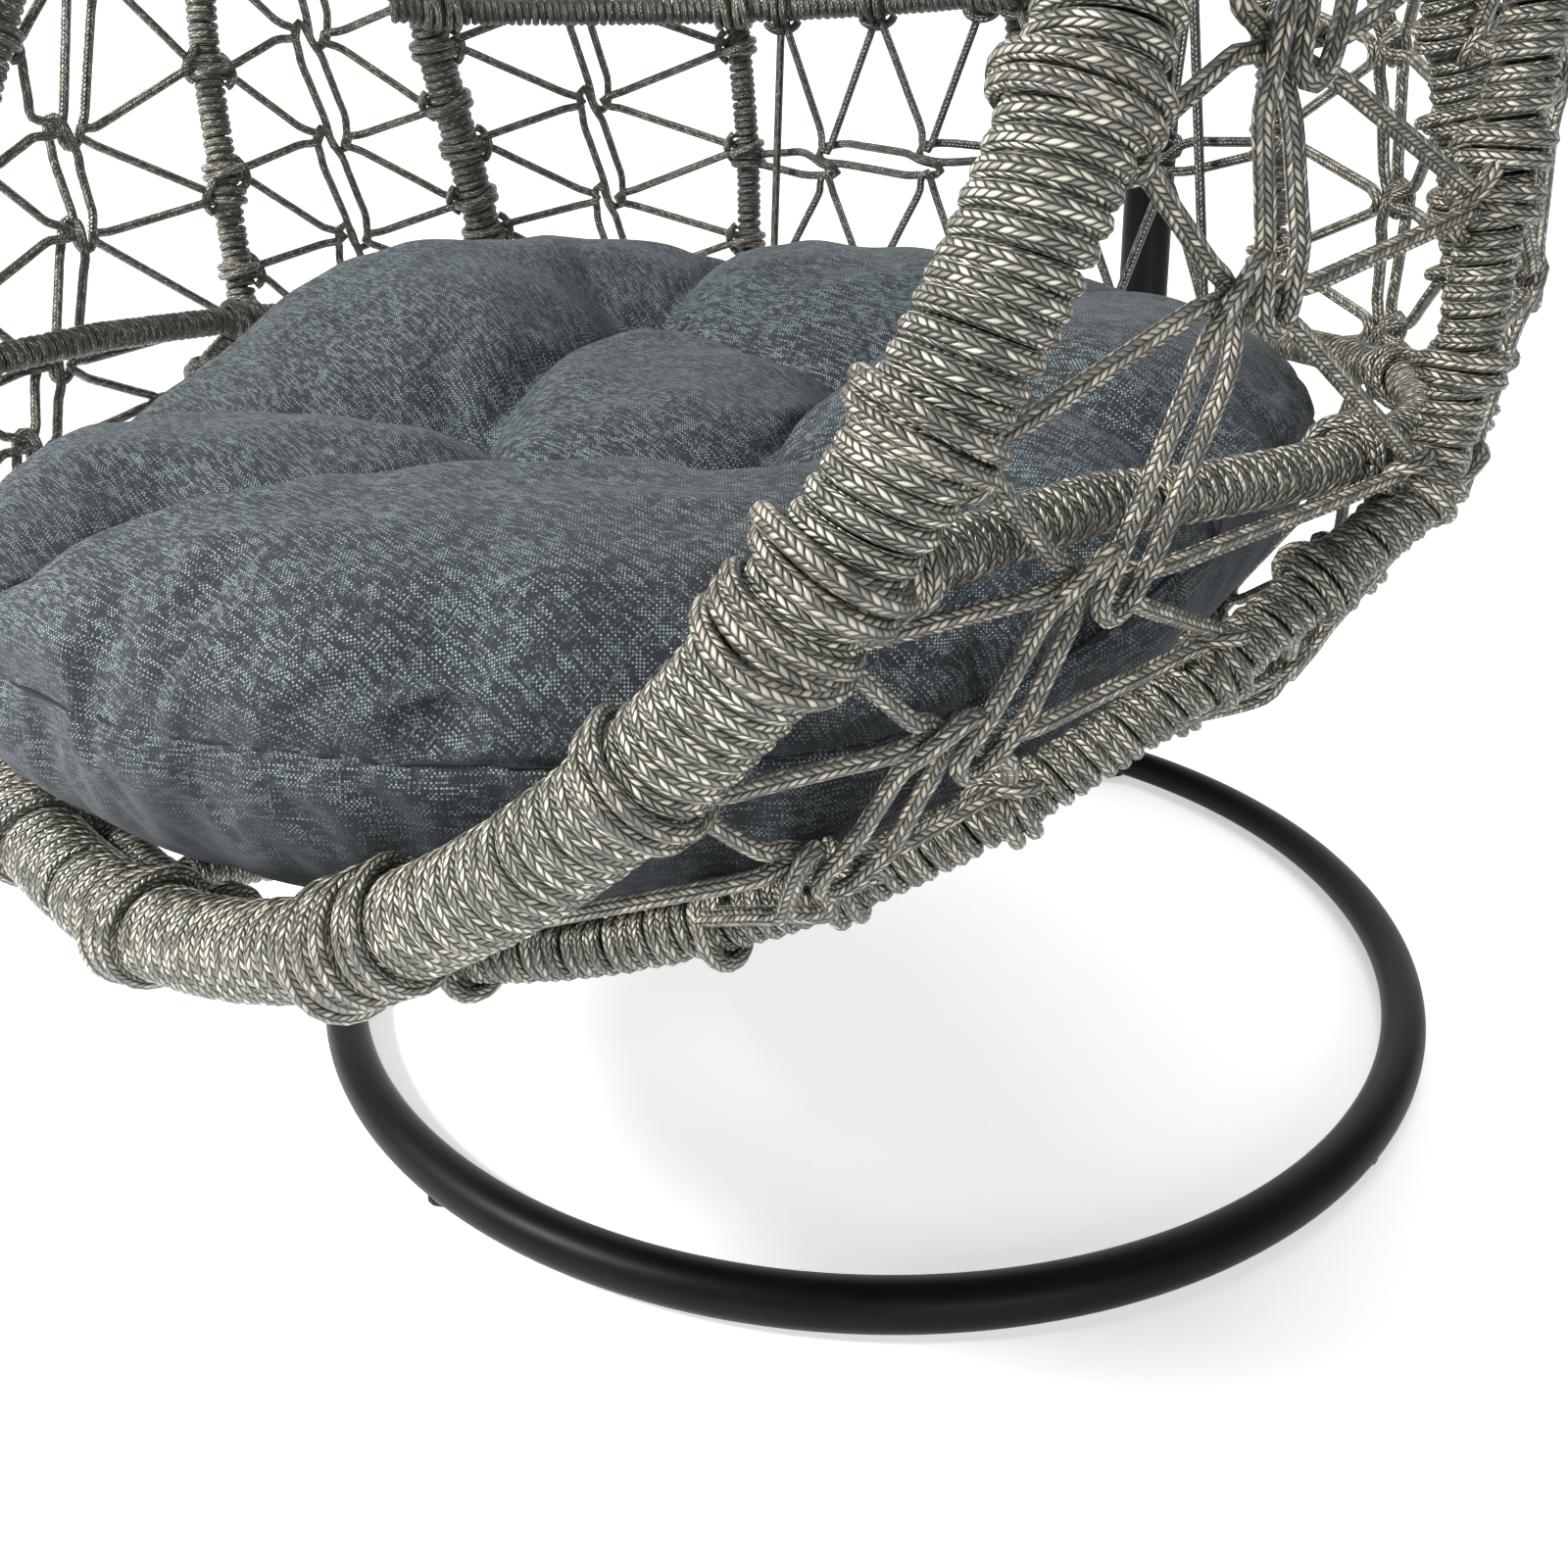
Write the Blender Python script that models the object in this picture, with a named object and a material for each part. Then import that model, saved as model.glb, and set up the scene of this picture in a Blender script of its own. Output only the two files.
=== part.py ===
"""Hanging egg chair: a rope-wrapped basket on a ring-based stand.

The base is a closed ring of round tube with a post at its rear that bends
forward over the chair. A carabiner, a swivel, a tension spring and a second
carabiner carry the basket, which is a frame of hoops, ribs and two
horizontal rings, all served with braided rope, with knotted rope nets in the
bays between the hoops and a thick seat cushion inside.

Chair frame used by the dimensions below: X from the viewer's left to right
when the chair is seen from the front, Y from front (-) to back (+) measured
from the vertical hang axis, Z up from the floor. HANG_Y moves that
frame so that the model's own origin lies under the middle of its box.
"""

import math

import bmesh
import bpy
from mathutils import Vector

# ------------------------------------------------------------------ sizes --
HANG_Y = -0.1502          # hang axis in the part's own frame
GAP = 0.0006              # clearance between touching pieces

RING_R = 0.450            # base ring centreline radius
RING_TUBE = 0.016         # base ring tube radius
RING_Y = 0.240            # base ring centre behind the hang axis
GLIDE_H = 0.004           # glide thickness
RING_Z = RING_TUBE + GLIDE_H

POST_R = 0.024            # post tube outer radius
POST_WALL = 0.002
POST_Y = RING_Y + RING_R  # post stands on the rear of the ring
SOCKET_TOP = 0.110
POST_JOINT_Z = 0.980      # where the two post tubes meet
ARM_Z = 1.930             # centreline height of the arm over the chair
ARM_BEND_Z = 1.470        # where the post starts to bend forward
SPIGOT_LEN = 0.240

CROWN_Z = 1.444           # crown hub, mid height
CROWN_R = 0.063
CROWN_T = 0.014
BOTTOM_Z = 0.262          # bottom hub, mid height
BOTTOM_R = 0.050
BOTTOM_T = 0.012
BOTTOM_Y = 0.010

RIM_TUBE = 0.0140         # radii of cores and of rope wraps
RIM_BORE = 0.0091         # bore of the rim's core, which balances the basket
RIM_WRAP = 0.0230
SIDE_TUBE = 0.0065
SIDE_WRAP = 0.0130
BIG_TUBE = 0.0095
BIG_WRAP = 0.0175
RIB_TUBE = 0.0060
RIB_WRAP = 0.0120
ROPE_R = 0.0042           # net rope

RIM_A = 0.481             # rim half width
RIM_BOTTOM = (-0.394, 0.315)
RIM_B_LOW = 0.419         # rim bottom to its widest level
RIM_B_UP = 0.706          # widest level to its top
RIM_LEAN = 0.408          # backward lean, run per rise

SEAT_Z = 0.546            # seat ring level and plan ellipse
SEAT_A = 0.490
SEAT_B = 0.425
SEAT_Y = -0.005
UP_Z = 0.803              # upper ring level and plan ellipse
UP_A = 0.460
UP_B = 0.525
UP_Y = -0.109
RIB_ANGLE = 31.0          # plan angle of the two outer back ribs

EYE_Z = 1.886             # pivot of the upper carabiner in the arm's eye

# ---------------------------------------------------------------- helpers --
for o in list(bpy.data.objects):
    bpy.data.objects.remove(o, do_unlink=True)


def material(name, rgb, rough, metal=0.0):
    m = bpy.data.materials.new(name)
    m.use_nodes = True
    b = m.node_tree.nodes["Principled BSDF"]
    b.inputs["Base Color"].default_value = (*rgb, 1.0)
    b.inputs["Roughness"].default_value = rough
    b.inputs["Metallic"].default_value = metal
    m.diffuse_color = (*rgb, 1.0)
    return m


BLACK = ((0.012, 0.012, 0.013), 0.38, 0.0)
ROPE = ((0.36, 0.325, 0.27), 0.45, 0.0)
NET = ((0.30, 0.275, 0.235), 0.5, 0.0)
STEEL = ((0.62, 0.63, 0.64), 0.28, 1.0)
RUBBER = ((0.02, 0.02, 0.02), 0.8, 0.0)
PLASTIC = ((0.015, 0.015, 0.015), 0.5, 0.0)
CLOTH = ((0.075, 0.095, 0.115), 0.9, 0.0)


def place(name, mesh, look, at=(0, 0, 0), smooth=True):
    """Object with its origin at a chair-frame point and its own material."""
    ob = bpy.data.objects.new(name, mesh)
    bpy.context.scene.collection.objects.link(ob)
    mesh.materials.append(material(name + "_mat", *look))
    off = Vector(at)
    for v in mesh.vertices:
        v.co -= off
    ob.location = (off.x, off.y + HANG_Y, off.z)
    if smooth:
        mesh.shade_smooth()
        mesh.set_sharp_from_angle(angle=math.radians(35))
    return ob


def to_mesh(name, verts, faces):
    me = bpy.data.meshes.new(name)
    me.from_pydata([tuple(v) for v in verts], [], faces)
    bm = bmesh.new()
    bm.from_mesh(me)
    bmesh.ops.recalc_face_normals(bm, faces=bm.faces)
    bm.to_mesh(me)
    bm.free()
    return me


def smooth_line(points, n, closed=False):
    """n points evenly spaced along a Catmull-Rom curve through points."""
    p = [Vector(q) for q in points]
    fine = []
    m = len(p)
    spans = m if closed else m - 1
    for i in range(spans):
        if closed:
            a, b, c, d = p[(i - 1) % m], p[i], p[(i + 1) % m], p[(i + 2) % m]
        else:
            b, c = p[i], p[i + 1]
            a = p[i - 1] if i else b * 2 - c
            d = p[i + 2] if i + 2 < m else c * 2 - b
        for k in range(16):
            t = k / 16
            fine.append(
                0.5
                * (
                    b * 2
                    + (c - a) * t
                    + (a * 2 - b * 5 + c * 4 - d) * t**2
                    + (b * 3 - a - c * 3 + d) * t**3
                )
            )
    fine.append(p[0].copy() if closed else p[-1].copy())
    return even(fine, n, closed)


def even(fine, n, closed=False):
    length = [0.0]
    for a, b in zip(fine, fine[1:]):
        length.append(length[-1] + (b - a).length)
    out = []
    steps = n if closed else n - 1
    j = 0
    for i in range(n):
        want = length[-1] * i / steps
        while j < len(length) - 2 and length[j + 1] < want:
            j += 1
        f = (want - length[j]) / max(length[j + 1] - length[j], 1e-9)
        out.append(fine[j].lerp(fine[j + 1], min(max(f, 0), 1)))
    return out


def frames(path, closed=False):
    """Tangent, normal and binormal carried along a path without twist."""
    n = len(path)
    tan = []
    for i in range(n):
        if closed:
            t = path[(i + 1) % n] - path[i - 1]
        else:
            t = path[min(i + 1, n - 1)] - path[max(i - 1, 0)]
        tan.append(t.normalized())
    ref = Vector((0, 0, 1)) if abs(tan[0].z) < 0.9 else Vector((0, 1, 0))
    nor = (ref - tan[0] * ref.dot(tan[0])).normalized()
    out = []
    for t in tan:
        nor = (nor - t * nor.dot(t)).normalized()
        out.append((t, nor, t.cross(nor)))
    return out


def tube_mesh(name, path, radius, inner=None, sides=8, closed=False, mitre=(None, None)):
    """Solid rod, hollow tube (open ends) or closed loop along a path. A mitre
    is the normal that an end is cut to, where it meets a flat or a hub."""
    fr = frames(path, closed)
    if closed:
        # spread the leftover twist so that the last ring meets the first
        t, nn, bb = fr[-1]
        t0, n0, b0 = fr[0]
        nn = (nn - t0 * nn.dot(t0)).normalized()
        twist = math.atan2(nn.cross(n0).dot(t0), nn.dot(n0))
        m = len(path)
        fr = [
            (
                t,
                n * math.cos(twist * i / m) + b * math.sin(twist * i / m),
                b * math.cos(twist * i / m) - n * math.sin(twist * i / m),
            )
            for i, (t, n, b) in enumerate(fr)
        ]
    verts, faces = [], []
    radii = [radius] + ([inner] if inner else [])
    for r in radii:
        for i, (p, (t, n, b)) in enumerate(zip(path, fr)):
            flat = mitre[0] if i == 0 else mitre[1] if i == len(path) - 1 else None
            for k in range(sides):
                a = math.tau * (k + 0.5) / sides
                v = p + n * (r * math.cos(a)) + b * (r * math.sin(a))
                if flat is not None:
                    v += t * ((p - v).dot(flat) / t.dot(flat))
                verts.append(v)
    m = len(path)
    for s in range(len(radii)):
        base = s * m * sides
        for i in range(m if closed else m - 1):
            j = (i + 1) % m
            for k in range(sides):
                l = (k + 1) % sides
                f = [base + i * sides + k, base + j * sides + k, base + j * sides + l, base + i * sides + l]
                faces.append(f if s == 0 else f[::-1])
    if not closed:
        if inner:
            o = m * sides
            for i in (0, m - 1):
                for k in range(sides):
                    l = (k + 1) % sides
                    f = [i * sides + k, i * sides + l, o + i * sides + l, o + i * sides + k]
                    faces.append(f if i == 0 else f[::-1])
        else:
            faces.append(list(range(sides))[::-1])
            faces.append([(m - 1) * sides + k for k in range(sides)])
    return to_mesh(name, verts, faces)


def turned_mesh(name, profile, at, axis="Z", sides=16):
    """Solid of revolution: profile is (radius, height) pairs, bottom to top."""
    verts, faces = [], []
    rings = []
    for r, h in profile:
        if r < 1e-6:
            rings.append([len(verts)])
            verts.append((0, 0, h))
        else:
            rings.append(list(range(len(verts), len(verts) + sides)))
            for k in range(sides):
                a = math.tau * (k + 0.5) / sides
                verts.append((r * math.cos(a), r * math.sin(a), h))
    for a, b in zip(rings, rings[1:]):
        for k in range(sides):
            l = (k + 1) % sides
            if len(a) == 1:
                faces.append([a[0], b[k], b[l]])
            elif len(b) == 1:
                faces.append([a[k], b[0], a[l]])
            else:
                faces.append([a[k], b[k], b[l], a[l]])
    if len(rings[0]) > 1:
        faces.append(rings[0][::-1])
    if len(rings[-1]) > 1:
        faces.append(rings[-1])
    turn = {
        "Z": lambda v: (v[0], v[1], v[2]),
        "X": lambda v: (v[2], v[0], v[1]),
        "Y": lambda v: (v[1], v[2], v[0]),
    }[axis]
    return to_mesh(name, [Vector(turn(v)) + Vector(at) for v in verts], faces)


def cut(ob, cutter, op="DIFFERENCE"):
    """Applies an exact Boolean and removes the cutter."""
    mod = ob.modifiers.new("cut", "BOOLEAN")
    mod.operation = op
    mod.solver = "EXACT"
    mod.object = cutter
    bpy.context.view_layer.update()
    dg = bpy.context.evaluated_depsgraph_get()
    me = bpy.data.meshes.new_from_object(ob.evaluated_get(dg), depsgraph=dg)
    ob.modifiers.remove(mod)
    ob.data = me
    bpy.data.objects.remove(cutter, do_unlink=True)
    return ob


def mirror_x(points):
    return [Vector((-p[0], p[1], p[2])) for p in points]


# ------------------------------------------------------------- base, post --
def circle(cx, cy, z, r, n, start=0.0):
    return [
        Vector((cx + r * math.cos(start + math.tau * i / n), cy + r * math.sin(start + math.tau * i / n), z))
        for i in range(n)
    ]


base = place(
    "base_ring",
    tube_mesh("base_ring", circle(0, RING_Y, RING_Z, RING_R, 36), RING_TUBE, sides=8, closed=True),
    BLACK,
    (0, RING_Y, RING_Z),
)
# the ring's octagon stands on a flat, whose height is the apothem
RING_FLAT = RING_Z - RING_TUBE * math.cos(math.pi / 8)
for tag, ang in (("right", 0), ("rear", 90), ("left", 180), ("front", 270)):
    c = Vector((RING_R * math.cos(math.radians(ang)), RING_Y + RING_R * math.sin(math.radians(ang)), 0))
    place(
        "glide_" + tag,
        turned_mesh("glide", [(0.009, 0.0), (0.011, 0.001), (0.011, RING_FLAT - GAP)], c, sides=12),
        RUBBER,
        c,
    )

# socket: a stub welded on the ring, a little over the post
socket = place(
    "post_socket",
    tube_mesh(
        "post_socket",
        [Vector((0, POST_Y, z)) for z in (RING_Z - 0.004, SOCKET_TOP)],
        POST_R + 0.0035,
        inner=POST_R + GAP,
        sides=12,
    ),
    BLACK,
    (0, POST_Y, RING_Z),
)
saddle = place("saddle_cutter", tube_mesh("c", circle(0, RING_Y, RING_Z, RING_R, 36), RING_TUBE + GAP, sides=8, closed=True), BLACK)
cut(socket, saddle)

post_low = place(
    "post_lower",
    tube_mesh(
        "post_lower",
        [Vector((0, POST_Y, z)) for z in (RING_Z + RING_TUBE + 0.001, POST_JOINT_Z - GAP)],
        POST_R,
        inner=POST_R - POST_WALL,
        sides=12,
    ),
    BLACK,
    (0, POST_Y, RING_Z),
)
arm_line = smooth_line(
    [
        (0, POST_Y, ARM_BEND_Z),
        (0, POST_Y - 0.008, 1.60),
        (0, POST_Y - 0.050, 1.73),
        (0, POST_Y - 0.140, 1.845),
        (0, POST_Y - 0.270, 1.912),
        (0, POST_Y - 0.420, ARM_Z + 0.006),
        (0, POST_Y - 0.560, ARM_Z + 0.004),
        (0, -0.040, ARM_Z),
    ],
    15,
)
post_up = place(
    "post_upper",
    tube_mesh(
        "post_upper",
        [Vector((0, POST_Y, POST_JOINT_Z)), Vector((0, POST_Y, POST_JOINT_Z + SPIGOT_LEN / 2 + 0.02))] + arm_line,
        POST_R,
        inner=POST_R - POST_WALL,
        sides=12,
    ),
    BLACK,
    (0, POST_Y, POST_JOINT_Z),
)
spigot = place(
    "post_spigot",
    tube_mesh(
        "post_spigot",
        [Vector((0, POST_Y, POST_JOINT_Z + s * SPIGOT_LEN / 2)) for s in (-1, 1)],
        POST_R - POST_WALL - GAP,
        inner=POST_R - POST_WALL - 0.0030,
        sides=12,
    ),
    BLACK,
    (0, POST_Y, POST_JOINT_Z),
)
BOLT_R = 0.004
for tag, z in (("lower", POST_JOINT_Z - 0.06), ("upper", POST_JOINT_Z + 0.06)):
    for part in ((post_low,) if tag == "lower" else (post_up,)) + (spigot,):
        drill = place(
            "drill",
            turned_mesh("d", [(BOLT_R + GAP, -0.05), (BOLT_R + GAP, 0.05)], (0, POST_Y, z), "X", 12),
            BLACK,
        )
        cut(part, drill)
    side = POST_R + GAP
    place(
        "joint_bolt_" + tag,
        turned_mesh(
            "bolt",
            [(BOLT_R, -side - 0.009), (BOLT_R, side), (0.0078, side), (0.0078, side + 0.003), (0.0045, side + 0.0062)],
            (0, POST_Y, z),
            "X",
            12,
        ),
        STEEL,
        (0, POST_Y, z),
    )
    nut = place(
        "joint_nut_" + tag,
        tube_mesh(
            "nut",
            [Vector((-side - 0.0078, POST_Y, z)), Vector((-side, POST_Y, z))],
            0.0072,
            inner=BOLT_R + GAP,
            sides=12,
        ),
        STEEL,
        (0, POST_Y, z),
    )

# plug in the arm's open end
end, before = arm_line[-1], arm_line[-2]
tip = (end - before).normalized()
place(
    "arm_end_cap",
    turned_mesh(
        "cap",
        [(0.0205, -0.0005 + -0.012), (POST_R - POST_WALL - 0.0012, -0.010), (POST_R - POST_WALL - 0.0012, GAP), (POST_R, GAP), (POST_R - 0.0015, 0.0050), (0.014, 0.0062)],
        (0, 0, 0),
        "Y",
        12,
    ),
    PLASTIC,
)
cap = bpy.data.objects["arm_end_cap"]
flip = math.atan2(tip.z, -tip.y)
for v in cap.data.vertices:
    x, y, z = v.co
    y = -y
    v.co = (x, y * math.cos(flip) + z * math.sin(flip), -y * math.sin(flip) + z * math.cos(flip))
bm = bmesh.new()
bm.from_mesh(cap.data)
bmesh.ops.recalc_face_normals(bm, faces=bm.faces)
bm.to_mesh(cap.data)
bm.free()
cap.location = (end.x, end.y + HANG_Y, end.z)


# closed eye welded under the arm; the carabiner hangs in it
def ring_points(cy, cz, r, n, x=0.0):
    return [Vector((x, cy + r * math.cos(math.tau * i / n), cz + r * math.sin(math.tau * i / n))) for i in range(n)]


EYE_ROD = 0.0045
EYE_R = 0.0135
under = ARM_Z + 0.0015 - POST_R
eye = place(
    "hanger_eye",
    tube_mesh("eye", ring_points(0, EYE_Z + 0.006, EYE_R, 16), EYE_ROD, sides=6, closed=True),
    BLACK,
    (0, 0, EYE_Z),
)
arm_cutter = place(
    "arm_cutter",
    tube_mesh("ac", arm_line, POST_R + GAP, sides=12),
    BLACK,
)
cut(eye, arm_cutter)


# ---------------------------------------------------------- hook hardware --
def link_line(width, height, z_low, n=28, plane="XZ"):
    """Rounded oblong loop in a vertical plane, lowest point at z_low."""
    r = width / 2
    pts = []
    straight = height - width
    for i in range(n):
        a = math.tau * i / n
        c, s = math.cos(a), math.sin(a)
        u = r * c
        w = r * s + (straight if s > 0 else 0)
        if abs(s) < 1e-9:
            w = straight / 2
        pts.append((u, w))
    out = []
    for u, w in pts:
        out.append(Vector((u, 0, z_low + r + w)) if plane == "XZ" else Vector((0, u, z_low + r + w)))
    return out


def carabiner(name, z_low, height, width, rod, plane):
    """Body of the carabiner with its gate cut out as a separate piece."""
    r = width / 2
    straight = height - width
    path = []
    # starts at the top of the gate side and goes over the top, down the
    # spine and round the bottom to the lower end of the gate
    gate_low = z_low + r + 0.006
    gate_high = z_low + r + straight - 0.002
    n = 8
    path.append((r, gate_high + 0.0005))
    for i in range(n + 1):
        a = math.pi * i / n
        path.append((r * math.cos(a), z_low + r + straight + r * math.sin(a)))
    for i in range(n + 1):
        a = math.pi + math.pi * i / n
        path.append((r * math.cos(a), z_low + r + r * math.sin(a)))
    path.append((r, gate_low - 0.0005))
    pts = [Vector((u, 0, z)) if plane == "XZ" else Vector((0, u, z)) for u, z in path]
    clean = [pts[0]]
    for p in pts[1:]:
        if (p - clean[-1]).length > 0.001:
            clean.append(p)
    hinge = Vector((r, 0, gate_low)) if plane == "XZ" else Vector((0, r, gate_low))
    body = place(name, tube_mesh(name, clean, rod, sides=6), STEEL, (0, 0, z_low + height))
    # the gate starts a little above its pivot, so that its foot clears the
    # body as it swings in
    ends = [hinge + Vector((0, 0, 0.0013)), Vector((hinge.x, hinge.y, gate_high))]
    gate = place(name + "_gate", tube_mesh(name + "_gate", ends, rod * 0.8, sides=6), STEEL, hinge)
    return body, gate, hinge


# upper carabiner: passes through the fixed eye (eye lies in the YZ plane)
CAR_ROD = 0.0040
CAR_H = 0.076
CAR_W = 0.036
UP_CAR_LOW = EYE_Z + 0.006 - EYE_R + EYE_ROD + CAR_ROD + GAP - CAR_H
carabiner("upper_carabiner", UP_CAR_LOW, CAR_H, CAR_W, CAR_ROD, "XZ")

# swivel: eye and housing above, pin and eye below, turning about Z
SW_EYE_R = 0.0125
SW_ROD = 0.0038
sw_c = UP_CAR_LOW + CAR_ROD + GAP + SW_ROD - SW_EYE_R   # eye centre
sw_top = place(
    "swivel_upper",
    tube_mesh("swu", ring_points(0, sw_c, SW_EYE_R, 14), SW_ROD, sides=6, closed=True),
    STEEL,
    (0, 0, sw_c),
)
H_TOP = sw_c - SW_EYE_R + 0.001
H_LOW = H_TOP - 0.020
house = place(
    "house",
    turned_mesh("h", [(0.006, H_LOW), (0.0125, H_LOW + 0.002), (0.0125, H_TOP - 0.003), (0.008, H_TOP)], (0, 0, 0), "Z", 12),
    STEEL,
)
cut(sw_top, house, "UNION")
bore = place(
    "bore",
    turned_mesh(
        "b",
        [(0.0044, H_LOW - 0.01), (0.0044, H_LOW + 0.0060), (0.0086, H_LOW + 0.0060), (0.0086, H_LOW + 0.0125), (0.0030, H_LOW + 0.0125), (0.0030, H_TOP + 0.0075)],
        (0, 0, 0),
        "Z",
        12,
    ),
    STEEL,
)
cut(sw_top, bore)
low_c = H_LOW - 0.0065 - SW_EYE_R - SW_ROD
sw_low = place(
    "swivel_lower",
    tube_mesh("swl", ring_points(0, low_c, SW_EYE_R, 14), SW_ROD, sides=6, closed=True),
    STEEL,
    (0, 0, H_LOW),
)
pin = place(
    "pin",
    turned_mesh(
        "p",
        [(0.0060, low_c + SW_EYE_R - 0.001), (0.0085, low_c + SW_EYE_R + 0.002), (0.0085, H_LOW - 0.0006), (0.0040, H_LOW - 0.0006), (0.0040, H_LOW + 0.0064), (0.0080, H_LOW + 0.0064), (0.0080, H_LOW + 0.0118), (0.0070, H_LOW + 0.0121)],
        (0, 0, 0),
        "Z",
        12,
    ),
    STEEL,
)
cut(sw_low, pin, "UNION")

# tension spring: close coils with a hook at each end, hung in the lower eye
SPRING_R = 0.0155
WIRE = 0.0028
SP_TOP = low_c - SW_EYE_R + SW_ROD      # inside bottom of the swivel's eye
HOOK_R = 0.0085
COILS = 8
PITCH = 0.0118
sp_hook_top = SP_TOP + WIRE + 0.0008       # centre of the wire where it bears
coil_top = sp_hook_top - 2 * HOOK_R - 0.004
coil_low = coil_top - COILS * PITCH
line = []
for i in range(11):                     # upper hook, in the XZ plane
    a = math.radians(-60 + 240 * i / 10)
    line.append(Vector((HOOK_R * math.cos(a), 0, sp_hook_top - HOOK_R + HOOK_R * math.sin(a))))
lead = [Vector((-0.0125, -0.002, coil_top + 0.0035))]
turn = []
per = 8
for i in range(COILS * per + 1):
    a = math.pi + math.tau * i / per
    turn.append(Vector((SPRING_R * math.cos(a), SPRING_R * math.sin(a), coil_top - PITCH * i / per)))
sp_hook_low = coil_low - 0.004 - 2 * HOOK_R
low_hook = [
    Vector((-HOOK_R * math.cos(math.radians(-60 + 240 * i / 10)), 0, sp_hook_low + HOOK_R - HOOK_R * math.sin(math.radians(-60 + 240 * i / 10))))
    for i in range(1, 11)
]
wire = line + lead + turn + [Vector((-0.0125, 0.002, coil_low - 0.0035))] + low_hook
place("tension_spring", tube_mesh("spring", wire, WIRE, sides=5), STEEL, (0, 0, sp_hook_top))

# lower carabiner: holds the spring's lower hook and the crown's eye
LOW_CAR_TOP = sp_hook_low + WIRE + 0.0012 + CAR_ROD
LOW_CAR_LOW = LOW_CAR_TOP - CAR_H
carabiner("lower_carabiner", LOW_CAR_LOW, CAR_H, CAR_W, CAR_ROD, "YZ")

# ----------------------------------------------------------- basket frame --
def rim_point(t):
    """Front rim, t = 0 at the bottom, +-pi at the top."""
    x = RIM_A * math.sin(t)
    if abs(t) < math.pi / 2:
        rise = RIM_B_LOW * (1 - math.cos(t))
    else:
        rise = RIM_B_LOW - RIM_B_UP * math.cos(t)
    y = RIM_BOTTOM[0] + RIM_LEAN * rise - 0.470 * max(rise - 0.55, 0) ** 2
    return Vector((x, y, RIM_BOTTOM[1] + rise))


fine = [rim_point(-math.pi + math.tau * i / 400) for i in range(401)]
rim_line = even(fine, 36, closed=True)
rim_open = even(fine, 37)
# the wrap stops just short of meeting itself at the top of the rim
wrap_fine = [rim_point(-math.pi + 0.004 + (math.tau - 0.008) * i / 400) for i in range(401)]

place("front_rim_tube", tube_mesh("rim", even(wrap_fine, 29), RIM_TUBE, inner=RIM_BORE, sides=8, mitre=(Vector((1, 0, 0)), Vector((1, 0, 0)))), BLACK, rim_point(0))
place("front_rim_wrap", tube_mesh("rimw", even(wrap_fine, 29), RIM_WRAP, inner=RIM_TUBE + GAP, sides=8, mitre=(Vector((1, 0, 0)), Vector((1, 0, 0)))), ROPE, rim_point(0))


def plan(ring, deg, out=0.0):
    """Point of a horizontal ring at a plan angle from the back, moved out."""
    a, b, y0 = (SEAT_A, SEAT_B, SEAT_Y) if ring == "seat" else (UP_A, UP_B, UP_Y)
    u = math.radians(deg)
    x, y = a * math.sin(u), b * math.cos(u)
    n = Vector((x / a**2, y / b**2, 0)).normalized()
    return Vector((x, y0 + y, SEAT_Z if ring == "seat" else UP_Z)) + n * out


def member(name, points, n, core, wrap, sides=6, at=None, hubs=(None, None)):
    """A wrapped member: a solid core and the rope served round it. An end
    that meets a hub is cut square to that hub's radius."""
    path = smooth_line(points, n)
    cuts = []
    for end, y in ((path[0], hubs[0]), (path[-1], hubs[1])):
        cuts.append(None if y is None else Vector((end.x, end.y - y, 0)).normalized())
    place(name + "_tube", tube_mesh(name, path, core, sides=sides, mitre=cuts), BLACK, at or path[0])
    place(name + "_wrap", tube_mesh(name + "w", path, wrap, inner=core + GAP, sides=sides, mitre=cuts), ROPE, at or path[0])
    return path


def hub_point(z, y0, r, deg, rad):
    """End of a member on a hub's edge."""
    a = math.radians(deg)
    return Vector(((r + rad) * math.sin(a), y0 + (r + rad) * math.cos(a), z))


# side hoop: crown, down the right side, forward under the seat, up the left
TOUCH = RIM_WRAP + SIDE_WRAP + 0.002
side_half = [
    Vector((0.0, -0.394 + 0.0355, 0.3045)),
    Vector((0.10, -0.350, 0.3095)),
    Vector((0.20, -0.323, 0.325)),
    Vector((0.30, -0.281, 0.352)),
    Vector((0.39, -0.219, 0.395)),
    Vector((0.455, -0.142, 0.450)),
    Vector((0.498, -0.062, 0.505)),
    plan("seat", 91.5, RIB_WRAP + SIDE_WRAP + 0.004),
    Vector((0.528, -0.012, 0.66)),
    Vector((0.533, -0.010, 0.80)),
    Vector((0.500, -0.006, 0.955)),
    Vector((0.425, 0.000, 1.11)),
    Vector((0.310, 0.000, 1.26)),
    Vector((0.190, 0.000, 1.378)),
    Vector((CROWN_R + 0.040, 0.000, CROWN_Z - 0.012)),
    Vector((CROWN_R + 0.0016, 0.000, CROWN_Z)),
]
side_line = member(
    "side_hoop", mirror_x(side_half[::-1]) + side_half[1:], 35, SIDE_TUBE, SIDE_WRAP, at=(0, 0, SEAT_Z), hubs=(0, 0)
)

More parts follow.
